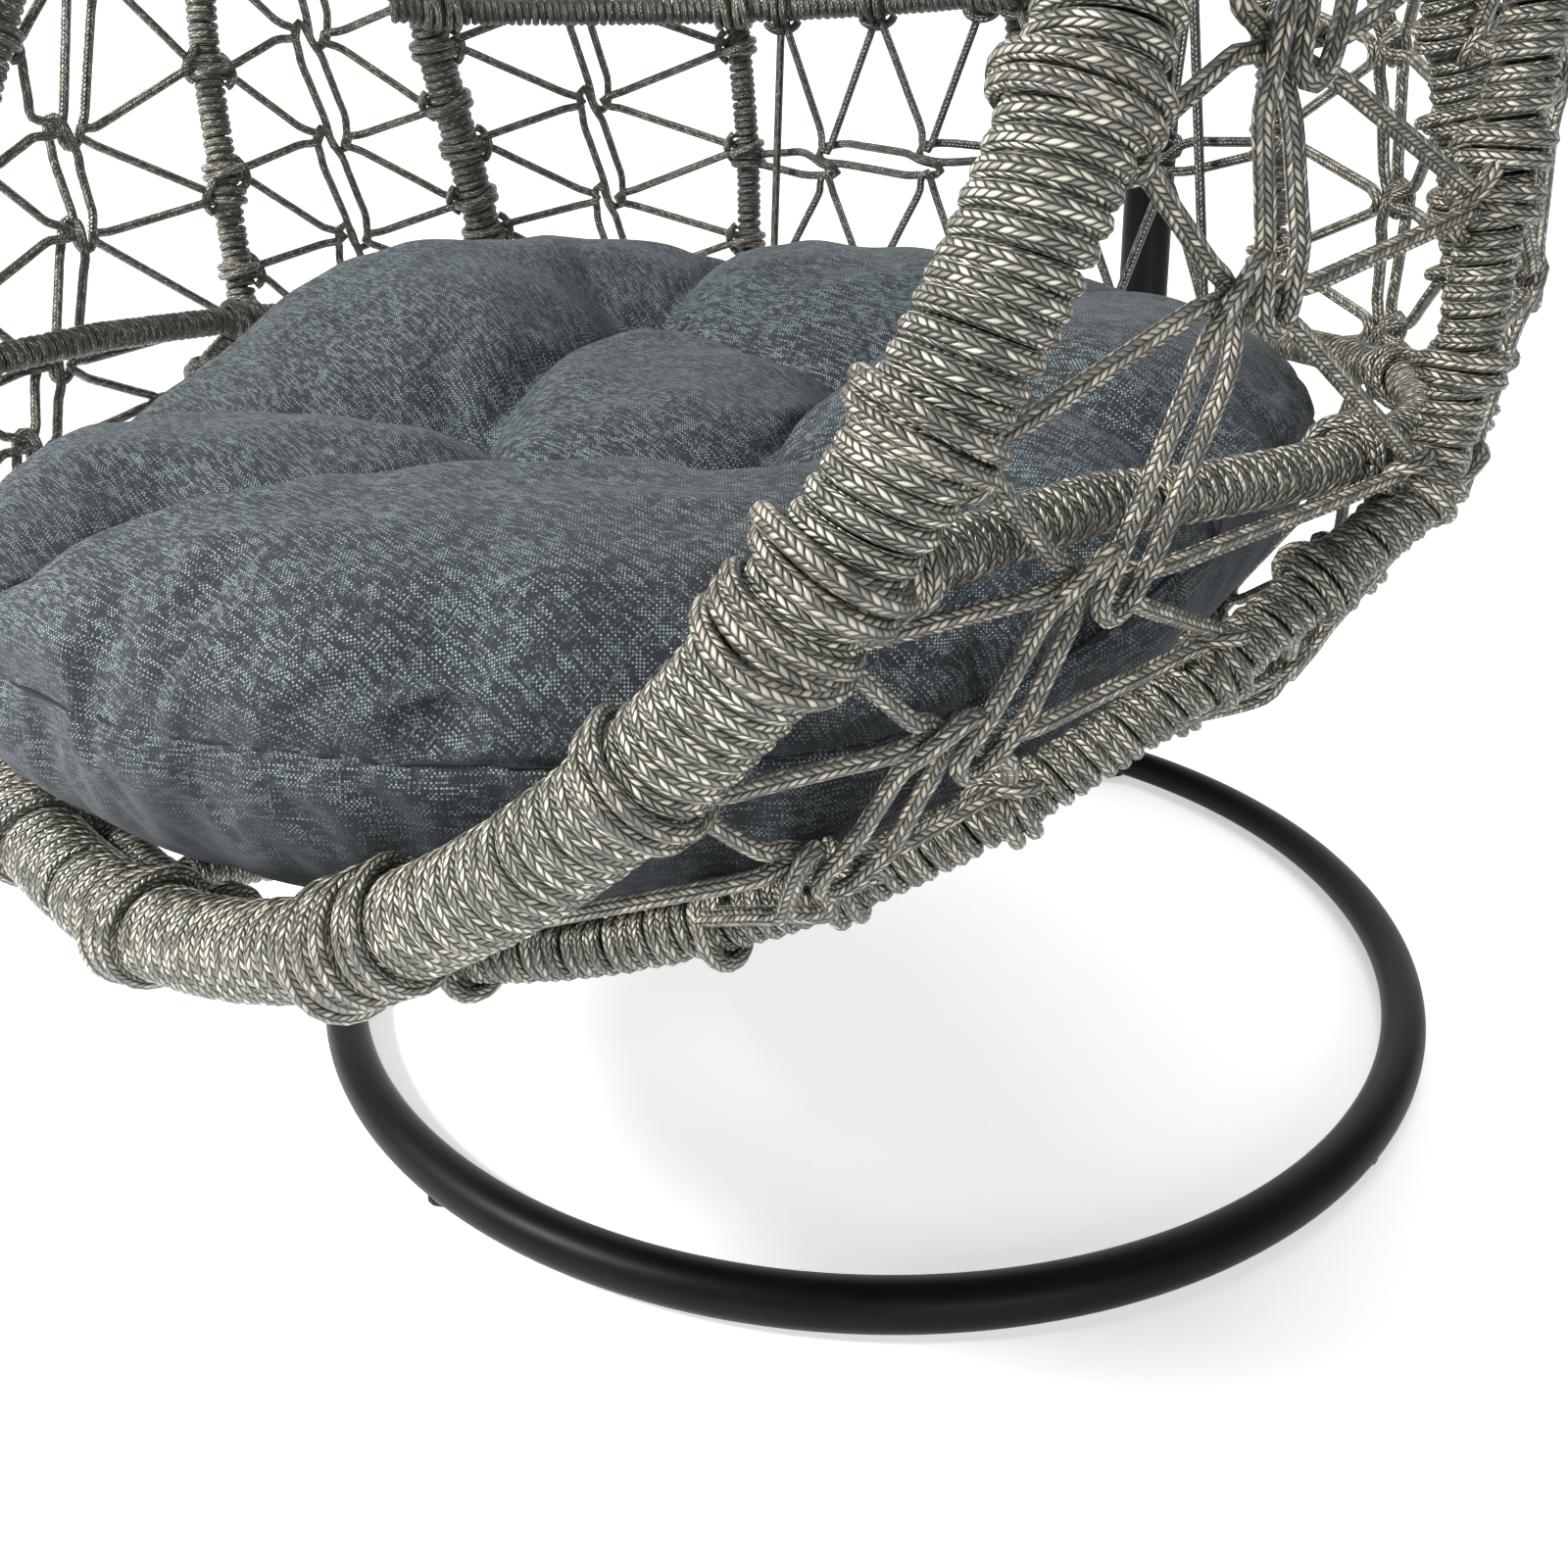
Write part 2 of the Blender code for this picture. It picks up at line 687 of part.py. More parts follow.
# rear side hoop: two halves between the crown and the bottom hub
big_half = [
    Vector((BOTTOM_R + 0.0006, BOTTOM_Y, BOTTOM_Z)),
    Vector((0.16, 0.022, 0.270)),
    Vector((0.27, 0.058, 0.308)),
    Vector((0.37, 0.112, 0.375)),
    Vector((0.433, 0.176, 0.462)),
    plan("seat", 61.0, RIB_WRAP + BIG_WRAP + 0.0045),
    Vector((0.452, 0.196, 0.665)),
    plan("up", 62.0, RIB_WRAP + BIG_WRAP + 0.002),
    Vector((0.405, 0.118, 0.95)),
    Vector((0.345, 0.088, 1.10)),
    Vector((0.250, 0.066, 1.25)),
    Vector((0.155, 0.062, 1.385)),
    hub_point(CROWN_Z - 0.010, 0, CROWN_R + 0.035, 60, 0),
    hub_point(CROWN_Z, 0, CROWN_R + 0.0020, 60, 0),
]
big_line = {}
for tag, pts in (("right", big_half), ("left", mirror_x(big_half))):
    big_line[tag] = member("rear_hoop_" + tag, pts, 18, BIG_TUBE, BIG_WRAP, hubs=(BOTTOM_Y, 0))


def rib_points(deg, crown_deg, bottom_deg):
    s = plan("seat", deg, RIB_WRAP * 2 + 0.002)
    u = plan("up", deg, RIB_WRAP * 2 + 0.002)
    side = math.sin(math.radians(deg))
    back = math.cos(math.radians(deg))
    low = hub_point(BOTTOM_Z, BOTTOM_Y, BOTTOM_R + 0.0020, bottom_deg, 0)
    low_out = hub_point(BOTTOM_Z + 0.001, BOTTOM_Y, BOTTOM_R + 0.040, bottom_deg, 0)
    top = hub_point(CROWN_Z, 0, CROWN_R + 0.0016, crown_deg, 0)
    top_out = hub_point(CROWN_Z - 0.012, 0, CROWN_R + 0.035, crown_deg, 0)
    return [
        low,
        low_out,
        low.lerp(s, 0.33) + Vector((0, 0, -0.062)),
        low.lerp(s, 0.66) + Vector((0, 0, -0.092)),
        s + Vector((-side * 0.016, -back * 0.018, -0.075)),
        s,
        s.lerp(u, 0.5) + Vector((side * 0.006, back * 0.012, 0)),
        u,
        Vector((u.x * 0.93, u.y * 0.93, 0.96)),
        Vector((u.x * 0.76, u.y * 0.775, 1.12)),
        Vector((u.x * 0.54, u.y * 0.56, 1.265)),
        Vector((u.x * 0.33, u.y * 0.34, 1.380)),
        top_out,
        top,
    ]


rib_line = {}
for tag, deg, cr, bt in (("right", RIB_ANGLE, 30, 45), ("middle", 0, 0, 0), ("left", -RIB_ANGLE, -30, -45)):
    rib_line[tag] = member("back_rib_" + tag, rib_points(deg, cr, bt), 15, RIB_TUBE, RIB_WRAP, hubs=(BOTTOM_Y, 0))

# keel bar from the bottom hub to the front
keel_line = member(
    "keel_bar",
    [
        Vector((0, BOTTOM_Y - BOTTOM_R - 0.0006, BOTTOM_Z)),
        Vector((0, -0.13, 0.2655)),
        Vector((0, -0.24, 0.280)),
        Vector((0, -0.394 + 0.0355 + SIDE_WRAP + 0.0010, 0.302)),
    ],
    5,
    RIB_TUBE,
    RIB_WRAP,
    hubs=(BOTTOM_Y, None),
)

# horizontal rings inside the hoops
# the seat ring runs on past the side hoop until it meets the rim
meet = rim_point(1.075)
reach = (plan("seat", 114) - meet).normalized() * (RIM_WRAP + 0.0125)
meet = meet + reach
seat_line = member(
    "seat_ring",
    [Vector((-meet.x, meet.y, meet.z))] + [plan("seat", d) for d in range(-114, 115, 4)] + [meet],
    27,
    RIB_TUBE,
    RIB_WRAP,
    at=(0, SEAT_Y, SEAT_Z),
)
up_line = member(
    "upper_ring",
    [plan("up", d) for d in range(-66, 67, 4)],
    13,
    RIB_TUBE,
    RIB_WRAP,
    at=(0, UP_Y, UP_Z),
)

# hubs
crown = place(
    "crown_hub",
    turned_mesh("crown", [(CROWN_R - 0.002, CROWN_Z - CROWN_T / 2), (CROWN_R, CROWN_Z - CROWN_T / 2 + 0.002), (CROWN_R, CROWN_Z + CROWN_T / 2 - 0.002), (CROWN_R - 0.002, CROWN_Z + CROWN_T / 2)], (0, 0, 0), "Z", 18),
    BLACK,
    (0, 0, CROWN_Z),
)
eye_top = LOW_CAR_LOW + CAR_ROD + GAP + 0.0045
crown_eye_r = (eye_top - (CROWN_Z + CROWN_T / 2) + 0.003) / 2
crown_eye = place(
    "crown_eye_part",
    tube_mesh(
        "ce",
        [Vector((p.y, 0, p.z)) for p in ring_points(0, CROWN_Z + CROWN_T / 2 - 0.003 + crown_eye_r, crown_eye_r, 16)],
        0.0045,
        sides=6,
        closed=True,
    ),
    BLACK,
)
cut(crown, crown_eye, "UNION")
place(
    "bottom_hub",
    turned_mesh("bottom", [(BOTTOM_R - 0.006, BOTTOM_Z - BOTTOM_T / 2), (BOTTOM_R, BOTTOM_Z - BOTTOM_T / 2 + 0.003), (BOTTOM_R, BOTTOM_Z + BOTTOM_T / 2 - 0.002), (BOTTOM_R - 0.002, BOTTOM_Z + BOTTOM_T / 2)], (0, BOTTOM_Y, 0), "Z", 18),
    BLACK,
    (0, BOTTOM_Y, BOTTOM_Z),
)


# -------------------------------------------------------------- rope nets --
def at_level(path, z, lowest=False):
    """Point of a half line at height z, going up from its lowest end."""
    for a, b in zip(path, path[1:]):
        if (a.z - z) * (b.z - z) <= 0 and abs(b.z - a.z) > 1e-6:
            return a.lerp(b, (z - a.z) / (b.z - a.z))
    return path[-1].copy() if z > path[-1].z else path[0].copy()


def upper_half(path, sign):
    """The half of a symmetric line on one side, bottom to top."""
    half = [p for p in path if p.x * sign >= -1e-6]
    if half[0].z > half[-1].z:
        half = half[::-1]
    return half


def net_panel(name, side_a, ra, side_b, rb, levels, bulge, mirror=False, look=NET):
    """Knotted net in one bay. The strands run from hitches on each side to a
    chain of knots up the middle, and are plain flat strips here."""
    mids = [(levels[i] + levels[i + 1]) / 2 for i in range(len(levels) - 1)]
    centre = Vector((0, 0.02, 0.75))
    hitch_a = [at_level(side_a, z) for z in levels]
    hitch_b = [at_level(side_b, z) for z in levels]
    knots = []
    for i in range(len(levels) - 1):
        m = (hitch_a[i] + hitch_a[i + 1] + hitch_b[i] + hitch_b[i + 1]) / 4
        out = (m - centre).normalized()
        knots.append(m + out * bulge)
    bm = bmesh.new()
    va = []
    vb = []
    vk = [bm.verts.new(k) for k in knots]
    for lst, pts, rad in ((va, hitch_a, ra), (vb, hitch_b, rb)):
        for i, p in enumerate(pts):
            near = knots[min(max(i, 0), len(knots) - 1)]
            if 0 < i < len(knots):
                near = (knots[i - 1] + knots[i]) / 2
            q = p + (near - p).normalized() * (rad + 0.0128)
            lst.append(bm.verts.new(q))
    bm.verts.ensure_lookup_table()
    edge_faces = []
    for v, flip in ((va, False), (vb, True)):
        for i in range(len(vk)):
            f = [v[i], v[i + 1], vk[i]]
            bm.faces.new(f[::-1] if flip else f)
            if i + 1 < len(vk):
                f = [v[i + 1], vk[i + 1], vk[i]]
                bm.faces.new(f[::-1] if flip else f)
    bmesh.ops.recalc_face_normals(bm, faces=bm.faces)
    border = {v for v in bm.verts if v in set(va) | set(vb)}
    first_ab = {va[0], vb[0]}
    open_edges = {e for e in bm.edges if e.is_boundary}
    along = [(va[i], va[i + 1]) for i in range(len(vk))] + [(vb[i], vb[i + 1]) for i in range(len(vk))]
    hoop_pairs = {frozenset(p) for p in along}
    faces = list(bm.faces)
    got = bmesh.ops.inset_individual(bm, faces=faces, thickness=ROPE_R, depth=0, use_even_offset=True)
    ring = set(got["faces"])
    inner = [f for f in bm.faces if f not in ring]
    bmesh.ops.delete(bm, geom=inner, context="FACES")
    drop = [
        f
        for f in bm.faces
        if any(frozenset(e.verts) in hoop_pairs for e in f.edges)
    ]
    bmesh.ops.delete(bm, geom=drop, context="FACES")
    bmesh.ops.delete(bm, geom=[v for v in bm.verts if not v.link_faces], context="VERTS")
    # thickness: a second skin inside, joined along every open edge
    geom = bmesh.ops.solidify(bm, geom=list(bm.faces), thickness=2 * ROPE_R)
    bmesh.ops.recalc_face_normals(bm, faces=bm.faces)
    me = bpy.data.meshes.new(name)
    bm.to_mesh(me)
    bm.free()
    return place(name, me, look, knots[len(knots) // 2], smooth=False)


for tag, sign in (("right", 1), ("left", -1)):
    rim_half = [rim_point(sign * math.pi * i / 200) for i in range(201)]
    side = upper_half(side_line, sign)
    big = big_line[tag] if big_line[tag][0].z < big_line[tag][-1].z else big_line[tag][::-1]
    rib = rib_line[tag]
    mid = rib_line["middle"]
    net_panel("net_front_" + tag + "_lower", rim_half, RIM_WRAP, side, SIDE_WRAP, [0.435, 0.495, 0.56, 0.63, 0.71, 0.79], 0.028)
    net_panel("net_front_" + tag + "_upper", rim_half, RIM_WRAP, side, SIDE_WRAP, [0.82, 0.93, 1.04, 1.15, 1.25], 0.014)
    net_panel("net_side_" + tag + "_lower", side, SIDE_WRAP, big, BIG_WRAP, [0.42, 0.49, 0.57, 0.66, 0.75, 0.84], 0.034)
    net_panel("net_side_" + tag + "_upper", side, SIDE_WRAP, big, BIG_WRAP, [0.87, 0.97, 1.07, 1.17, 1.26], 0.014)
    net_panel("net_rear_" + tag + "_lower", big, BIG_WRAP, rib, RIB_WRAP, [0.37, 0.45, 0.54, 0.63, 0.72, 0.81], 0.036)
    net_panel("net_rear_" + tag + "_upper", big, BIG_WRAP, rib, RIB_WRAP, [0.84, 0.94, 1.05, 1.16, 1.27], 0.018)
    net_panel("net_back_" + tag, rib, RIB_WRAP, mid, RIB_WRAP, [0.36, 0.46, 0.56, 0.66, 0.76, 0.86, 0.97, 1.08, 1.19], 0.036)

# ---------------------------------------------------------------- cushion --
CUSH_A = 0.432            # half width
CUSH_FRONT = 0.416        # hang axis to the front seam
CUSH_BACK = 0.380         # hang axis to the back seam
# (share of the half width, height) up the section, at the front and the back
FRONT_ROWS = [(0.20, 0.302), (0.50, 0.307), (0.74, 0.325), (0.90, 0.350), (0.975, 0.380), (1.0, 0.438), (0.975, 0.478), (0.90, 0.500), (0.74, 0.514), (0.50, 0.520), (0.20, 0.524)]
BACK_ROWS = [(0.20, 0.312), (0.50, 0.326), (0.74, 0.365), (0.90, 0.425), (0.975, 0.478), (1.0, 0.522), (0.97, 0.560), (0.88, 0.585), (0.74, 0.594), (0.50, 0.576), (0.20, 0.538)]


def cushion():
    """A round cushion whose front hangs low over the rim and whose back
    rises against the ribs."""
    sides = 28
    verts, faces = [], []
    for (ff, fz), (bf, bz) in zip(FRONT_ROWS, BACK_ROWS):
        for k in range(sides):
            a = math.tau * k / sides
            c, s = math.cos(a), math.sin(a)
            w = min(max((s + 0.6) / 0.8, 0), 1)
            w = w * w * (3 - 2 * w)
            f = ff + (bf - ff) * w
            p = 1.0 + (2.0 / 2.3 - 1.0) * max(s, 0) ** 0.5
            x = CUSH_A * f * math.copysign(abs(c) ** p, c)
            y = (CUSH_BACK if s > 0 else CUSH_FRONT) * f * math.copysign(abs(s) ** p, s)
            verts.append(Vector((x, y, fz + (bz - fz) * w)))
    rows = len(FRONT_ROWS)
    for i in range(rows - 1):
        for k in range(sides):
            l = (k + 1) % sides
            faces.append([i * sides + k, i * sides + l, (i + 1) * sides + l, (i + 1) * sides + k])
    faces.append(list(range(sides))[::-1])
    faces.append([(rows - 1) * sides + k for k in range(sides)])
    return to_mesh("cushion", verts, faces)


place("seat_cushion", cushion(), CLOTH, (0, 0, 0.48))
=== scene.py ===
import math

import bpy
import numpy as np
from mathutils import Matrix, Vector


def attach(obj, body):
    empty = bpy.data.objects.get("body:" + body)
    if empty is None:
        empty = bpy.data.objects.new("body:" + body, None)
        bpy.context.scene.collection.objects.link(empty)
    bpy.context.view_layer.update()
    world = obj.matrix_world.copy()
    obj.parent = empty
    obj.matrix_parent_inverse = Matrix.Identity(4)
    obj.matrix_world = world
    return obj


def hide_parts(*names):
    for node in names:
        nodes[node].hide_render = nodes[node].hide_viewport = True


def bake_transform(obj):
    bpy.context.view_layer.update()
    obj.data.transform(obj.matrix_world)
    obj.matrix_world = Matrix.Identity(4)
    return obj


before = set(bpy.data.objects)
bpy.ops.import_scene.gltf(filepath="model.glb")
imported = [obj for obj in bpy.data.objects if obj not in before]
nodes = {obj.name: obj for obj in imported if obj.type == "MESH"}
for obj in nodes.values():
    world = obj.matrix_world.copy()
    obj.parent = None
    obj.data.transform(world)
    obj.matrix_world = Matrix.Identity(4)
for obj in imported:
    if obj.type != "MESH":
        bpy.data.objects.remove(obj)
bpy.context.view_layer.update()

RNG = np.random.default_rng(4)

HANG_Y = -0.1502          # the hang axis in the object's frame
OFF = np.array([0.0, HANG_Y, 0.0])

# ------------------------------------------------------------ dimensions --
RING_R, RING_TUBE, RING_Y, RING_Z = 0.450, 0.016, 0.240, 0.020
POST_R, POST_Y, SOCKET_TOP, JOINT_Z = 0.024, 0.690, 0.110, 0.980
ARM_Z, ARM_BEND_Z = 1.930, 1.470
CROWN_Z, CROWN_R = 1.444, 0.063
BOTTOM_Z, BOTTOM_R, BOTTOM_Y = 0.262, 0.050, 0.010
RIM_WRAP, SIDE_WRAP, BIG_WRAP, RIB_WRAP = 0.0230, 0.0130, 0.0175, 0.0120
ROPE_R = 0.0037
RIM_A, RIM_BOTTOM, RIM_B_LOW, RIM_B_UP, RIM_LEAN = 0.481, (-0.394, 0.315), 0.419, 0.706, 0.408
SEAT_Z, SEAT_A, SEAT_B, SEAT_Y = 0.546, 0.490, 0.425, -0.005
UP_Z, UP_A, UP_B, UP_Y = 0.803, 0.460, 0.525, -0.109
RIB_ANGLE = 31.0


# ---------------------------------------------------------- curve helpers --
def even(fine, n, closed=False):
    fine = np.asarray(fine, float)
    seg = np.linalg.norm(np.diff(fine, axis=0), axis=1)
    s = np.concatenate([[0], np.cumsum(seg)])
    want = np.linspace(0, s[-1], n + 1)[:-1] if closed else np.linspace(0, s[-1], n)
    return np.stack([np.interp(want, s, fine[:, k]) for k in range(3)], 1)


def smooth_line(points, n, closed=False, steps=16):
    p = np.asarray([tuple(q) for q in points], float)
    m = len(p)
    fine = []
    t = (np.arange(steps) / steps)[:, None]
    for i in range(m if closed else m - 1):
        if closed:
            a, b, c, d = p[(i - 1) % m], p[i], p[(i + 1) % m], p[(i + 2) % m]
        else:
            b, c = p[i], p[i + 1]
            a = p[i - 1] if i else b * 2 - c
            d = p[i + 2] if i + 2 < m else c * 2 - b
        fine.append(0.5 * (b * 2 + (c - a) * t + (a * 2 - b * 5 + c * 4 - d) * t**2 + (b * 3 - a - c * 3 + d) * t**3))
    fine = np.concatenate(fine + [p[:1] if closed else p[-1:]])
    return even(fine, n, closed)


def unit(v):
    v = np.asarray(v, float)
    return v / np.maximum(np.linalg.norm(v, axis=-1, keepdims=True), 1e-12)


def tangents(path, closed=False):
    if closed:
        return unit(np.roll(path, -1, 0) - np.roll(path, 1, 0))
    return unit(np.gradient(path, axis=0))


def carried(path, closed=False, ref=None):
    """Normals carried along a path without twist."""
    tan = tangents(path, closed)
    if ref is None:
        ref = np.array([0, 0, 1.0]) if abs(tan[0][2]) < 0.9 else np.array([0, 1.0, 0])
    n = unit(ref - tan[0] * (ref @ tan[0]))
    out = np.empty_like(path)
    for i, t in enumerate(tan):
        n = n - t * (n @ t)
        n = n / max(np.linalg.norm(n), 1e-12)
        out[i] = n
    if closed:
        t0, n0 = tan[0], out[0]
        last = unit(out[-1] - t0 * (out[-1] @ t0))
        twist = math.atan2(np.cross(last, n0) @ t0, last @ n0)
        k = (twist * np.arange(len(path)) / len(path))[:, None]
        b = np.cross(tan, out)
        out = out * np.cos(k) + b * np.sin(k)
    return tan, out


class Bag:
    """Collects swept tubes into one mesh with a UV map along each tube."""

    def __init__(self):
        self.v, self.q, self.uv, self.n = [], [], [], 0
        self.caps = []

    def sweep(self, path, normals, radius, sides, u0=0.0, closed=False, flat=1.0, caps=True):
        path = np.asarray(path, float)
        m = len(path)
        tan = tangents(path, closed)
        nor = unit(normals - tan * np.sum(normals * tan, 1, keepdims=True))
        bi = np.cross(tan, nor)
        r = np.broadcast_to(np.asarray(radius, float), (m,))[:, None, None]
        a = np.arange(sides) * math.tau / sides
        ring = nor[:, None, :] * (np.cos(a) * flat)[None, :, None] + bi[:, None, :] * np.sin(a)[None, :, None]
        verts = (path[:, None, :] + ring * r).reshape(-1, 3)
        length = np.concatenate([[0], np.cumsum(np.linalg.norm(np.diff(path, axis=0), axis=1))]) + u0
        rows = m if closed else m - 1
        i = np.arange(rows)[:, None]
        j = (i + 1) % m
        k = np.arange(sides)[None, :]
        l = (k + 1) % sides
        q = np.stack([i * sides + k, i * sides + l, j * sides + l, j * sides + k], -1).reshape(-1, 4) + self.n
        if closed:
            total = length[-1] + np.linalg.norm(path[0] - path[-1])
            nxt = np.append(length[1:], total)
        else:
            nxt = length[1:]
        ui = np.broadcast_to(length[:rows, None], (rows, sides))
        uj = np.broadcast_to(nxt[:rows, None], (rows, sides))
        vk = np.broadcast_to(np.arange(sides)[None, :] / sides, (rows, sides))
        vl = vk + 1.0 / sides
        uv = np.stack([np.stack([ui, vk], -1), np.stack([ui, vl], -1), np.stack([uj, vl], -1), np.stack([uj, vk], -1)], 2)
        self.v.append(verts)
        self.q.append(q)
        self.uv.append(uv.reshape(-1, 2))
        if caps and not closed:
            for end, sign in ((0, 1), (m - 1, -1)):
                ids = self.n + end * sides + np.arange(sides)
                self.caps.append((ids if sign < 0 else ids[::-1], length[end]))
        self.n += len(verts)
        return length[-1]

    def build(self, name, mat, body="basket", smooth=True):
        v = np.concatenate(self.v)
        q = np.concatenate(self.q)
        uv = np.concatenate(self.uv)
        loops = [q.reshape(-1)]
        starts = [np.arange(len(q)) * 4]
        at = len(q) * 4
        cuv = []
        for ids, u in self.caps:
            loops.append(ids)
            starts.append(np.array([at]))
            at += len(ids)
            cuv.append(np.stack([np.full(len(ids), u), np.linspace(0, 1, len(ids))], 1))
        loops = np.concatenate(loops).astype(np.int32)
        starts = np.concatenate(starts).astype(np.int32)
        uv = np.concatenate([uv] + cuv) if cuv else uv
        me = bpy.data.meshes.new(name)
        me.vertices.add(len(v))
        me.vertices.foreach_set("co", v.astype(np.float32).reshape(-1))
        me.loops.add(len(loops))
        me.loops.foreach_set("vertex_index", loops)
        me.polygons.add(len(starts))
        me.polygons.foreach_set("loop_start", starts)
        me.update(calc_edges=True)
        me.polygons.foreach_set("use_smooth", np.full(len(starts), smooth))
        layer = me.uv_layers.new(name="rope")
        layer.data.foreach_set("uv", uv.astype(np.float32).reshape(-1))
        me.validate()
        ob = bpy.data.objects.new(name, me)
        bpy.context.scene.collection.objects.link(ob)
        me.materials.append(mat)
        if body:
            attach(ob, body)
        return ob


# -------------------------------------------------------------- materials --
def new_material(name):
    m = bpy.data.materials.new(name)
    m.use_nodes = True
    nt = m.node_tree
    nt.nodes.clear()
    out = nt.nodes.new("ShaderNodeOutputMaterial")
    bsdf = nt.nodes.new("ShaderNodeBsdfPrincipled")
    nt.links.new(bsdf.outputs[0], out.inputs[0])
    return m, nt, bsdf


class Graph:
    """Short forms for wiring math nodes."""

    def __init__(self, nt):
        self.nt = nt

    def node(self, kind, **props):
        n = self.nt.nodes.new(kind)
        for k, v in props.items():
            setattr(n, k, v)
        return n

    def put(self, socket, value):
        if hasattr(value, "is_output") or isinstance(value, bpy.types.NodeSocket):
            self.nt.links.new(value, socket)
        else:
            socket.default_value = value

    def math(self, op, a, b=None, c=None, clamp=False):
        n = self.node("ShaderNodeMath", operation=op, use_clamp=clamp)
        for i, v in enumerate((a, b, c)):
            if v is not None:
                self.put(n.inputs[i], v)
        return n.outputs[0]

    def mix(self, f, a, b):
        n = self.node("ShaderNodeMix", data_type="RGBA")
        self.put(n.inputs[0], f)
        self.put(n.inputs[6], a if isinstance(a, bpy.types.NodeSocket) else (*a, 1.0))
        self.put(n.inputs[7], b if isinstance(b, bpy.types.NodeSocket) else (*b, 1.0))
        return n.outputs[2]

    def remap(self, v, a, b, c=0.0, d=1.0, smooth=True):
        n = self.node("ShaderNodeMapRange", interpolation_type="SMOOTHSTEP" if smooth else "LINEAR")
        self.put(n.inputs[0], v)
        for i, x in enumerate((a, b, c, d)):
            n.inputs[i + 1].default_value = x
        return n.outputs[0]

    def noise(self, vec, scale, detail=2.0, rough=0.5, dims="3D"):
        n = self.node("ShaderNodeTexNoise", noise_dimensions=dims)
        if dims == "1D":
            self.put(n.inputs["W"], vec)
        else:
            self.put(n.inputs["Vector"], vec)
        n.inputs["Scale"].default_value = scale
        n.inputs["Detail"].default_value = detail
        n.inputs["Roughness"].default_value = rough
        return n.outputs[0]

    def white(self, vec):
        n = self.node("ShaderNodeTexWhiteNoise", noise_dimensions="3D")
        self.put(n.inputs["Vector"], vec)
        return n.outputs[0]

    def join(self, x, y, z=0.0):
        n = self.node("ShaderNodeCombineXYZ")
        for i, v in enumerate((x, y, z)):
            self.put(n.inputs[i], v)
        return n.outputs[0]

    def split(self, vec):
        n = self.node("ShaderNodeSeparateXYZ")
        self.put(n.inputs[0], vec)
        return n.outputs

    def bump(self, height, distance, strength=1.0, normal=None):
        n = self.node("ShaderNodeBump")
        n.inputs["Strength"].default_value = strength
        n.inputs["Distance"].default_value = distance
        self.put(n.inputs["Height"], height)
        if normal is not None:
            self.put(n.inputs["Normal"], normal)
        return n.outputs[0]


def rope_material(name, pale_and_glint, mid, dark, columns=10.0, pitch=0.0036, rough=0.24, relief=0.0013):
    """Braided cord: leaning lozenge strands in columns round the rope, every
    other column mirrored and set half a strand on, with filaments in each."""
    m, nt, bsdf = new_material(name)
    g = Graph(nt)
    uvn = g.node("ShaderNodeUVMap", uv_map="rope")
    u, v, _ = g.split(uvn.outputs[0])
    c = g.math("MULTIPLY", v, columns)
    k = g.math("FLOOR", c)
    fr = g.math("SUBTRACT", c, k)
    par = g.math("MODULO", k, 2.0)
    s = g.math("ADD", fr, g.math("MULTIPLY", par, g.math("SUBTRACT", 1.0, g.math("MULTIPLY", fr, 2.0))))
    obj = g.node("ShaderNodeTexCoord").outputs["Object"]
    wob = g.math("MULTIPLY", g.math("SUBTRACT", g.noise(obj, 90.0, 2.0), 0.5), 0.5)
    ph = g.math("ADD", g.math("ADD", g.math("DIVIDE", u, pitch), g.math("MULTIPLY", s, 0.82)), g.math("ADD", g.math("MULTIPLY", par, 0.5), wob))
    cell = g.math("FLOOR", ph)
    t = g.math("SUBTRACT", ph, cell)
    # crown of a strand, across it and towards its two ends
    across = g.math("SUBTRACT", 1.0, g.math("POWER", g.math("ABSOLUTE", g.math("SUBTRACT", g.math("MULTIPLY", t, 2.0), 1.0)), 2.2))
    ends = g.math("SUBTRACT", 1.0, g.math("POWER", g.math("ABSOLUTE", g.math("SUBTRACT", g.math("MULTIPLY", fr, 2.0), 1.0)), 2.4))
    h = g.math("MULTIPLY", g.math("POWER", across, 0.7), g.math("ADD", g.math("MULTIPLY", ends, 0.85), 0.15))
    key = g.join(cell, k, 3.7)
    rnd = g.white(key)
    fil = g.noise(g.join(g.math("MULTIPLY", t, 9.0), g.math("ADD", g.math("MULTIPLY", s, 1.3), g.math("MULTIPLY", cell, 5.3)), g.math("MULTIPLY", k, 7.1)), 1.6, 2.0, 0.6)
    wide = g.noise(obj, 14.0, 3.0)
    # random tone of each strand mixed with painted highlight: sparse strands take the pale colour, standing in for
    # glints on shiny strands
    tone_and_glint = g.math("ADD", g.math("MULTIPLY", g.math("POWER", rnd, 1.8), 0.75), g.math("ADD", g.math("MULTIPLY", fil, 0.45), g.math("MULTIPLY", wide, 0.30)))
    body = g.mix(g.remap(tone_and_glint, 0.30, 1.15), mid, pale_and_glint)
    # painted shade: the colour goes near black towards the edges of each strand and in the gaps between strands,
    # standing in for the shade there
    col = g.mix(g.remap(h, 0.22, 0.92), dark, body)
    g.put(bsdf.inputs["Base Color"], col)
    g.put(bsdf.inputs["Roughness"], g.math("ADD", rough, g.math("MULTIPLY", fil, 0.22)))
    bsdf.inputs["Specular IOR Level"].default_value = 1.0
    hh = g.math("ADD", h, g.math("MULTIPLY", fil, 0.10))
    n1 = g.bump(hh, relief, 1.0)
    g.put(bsdf.inputs["Normal"], n1)
    return m


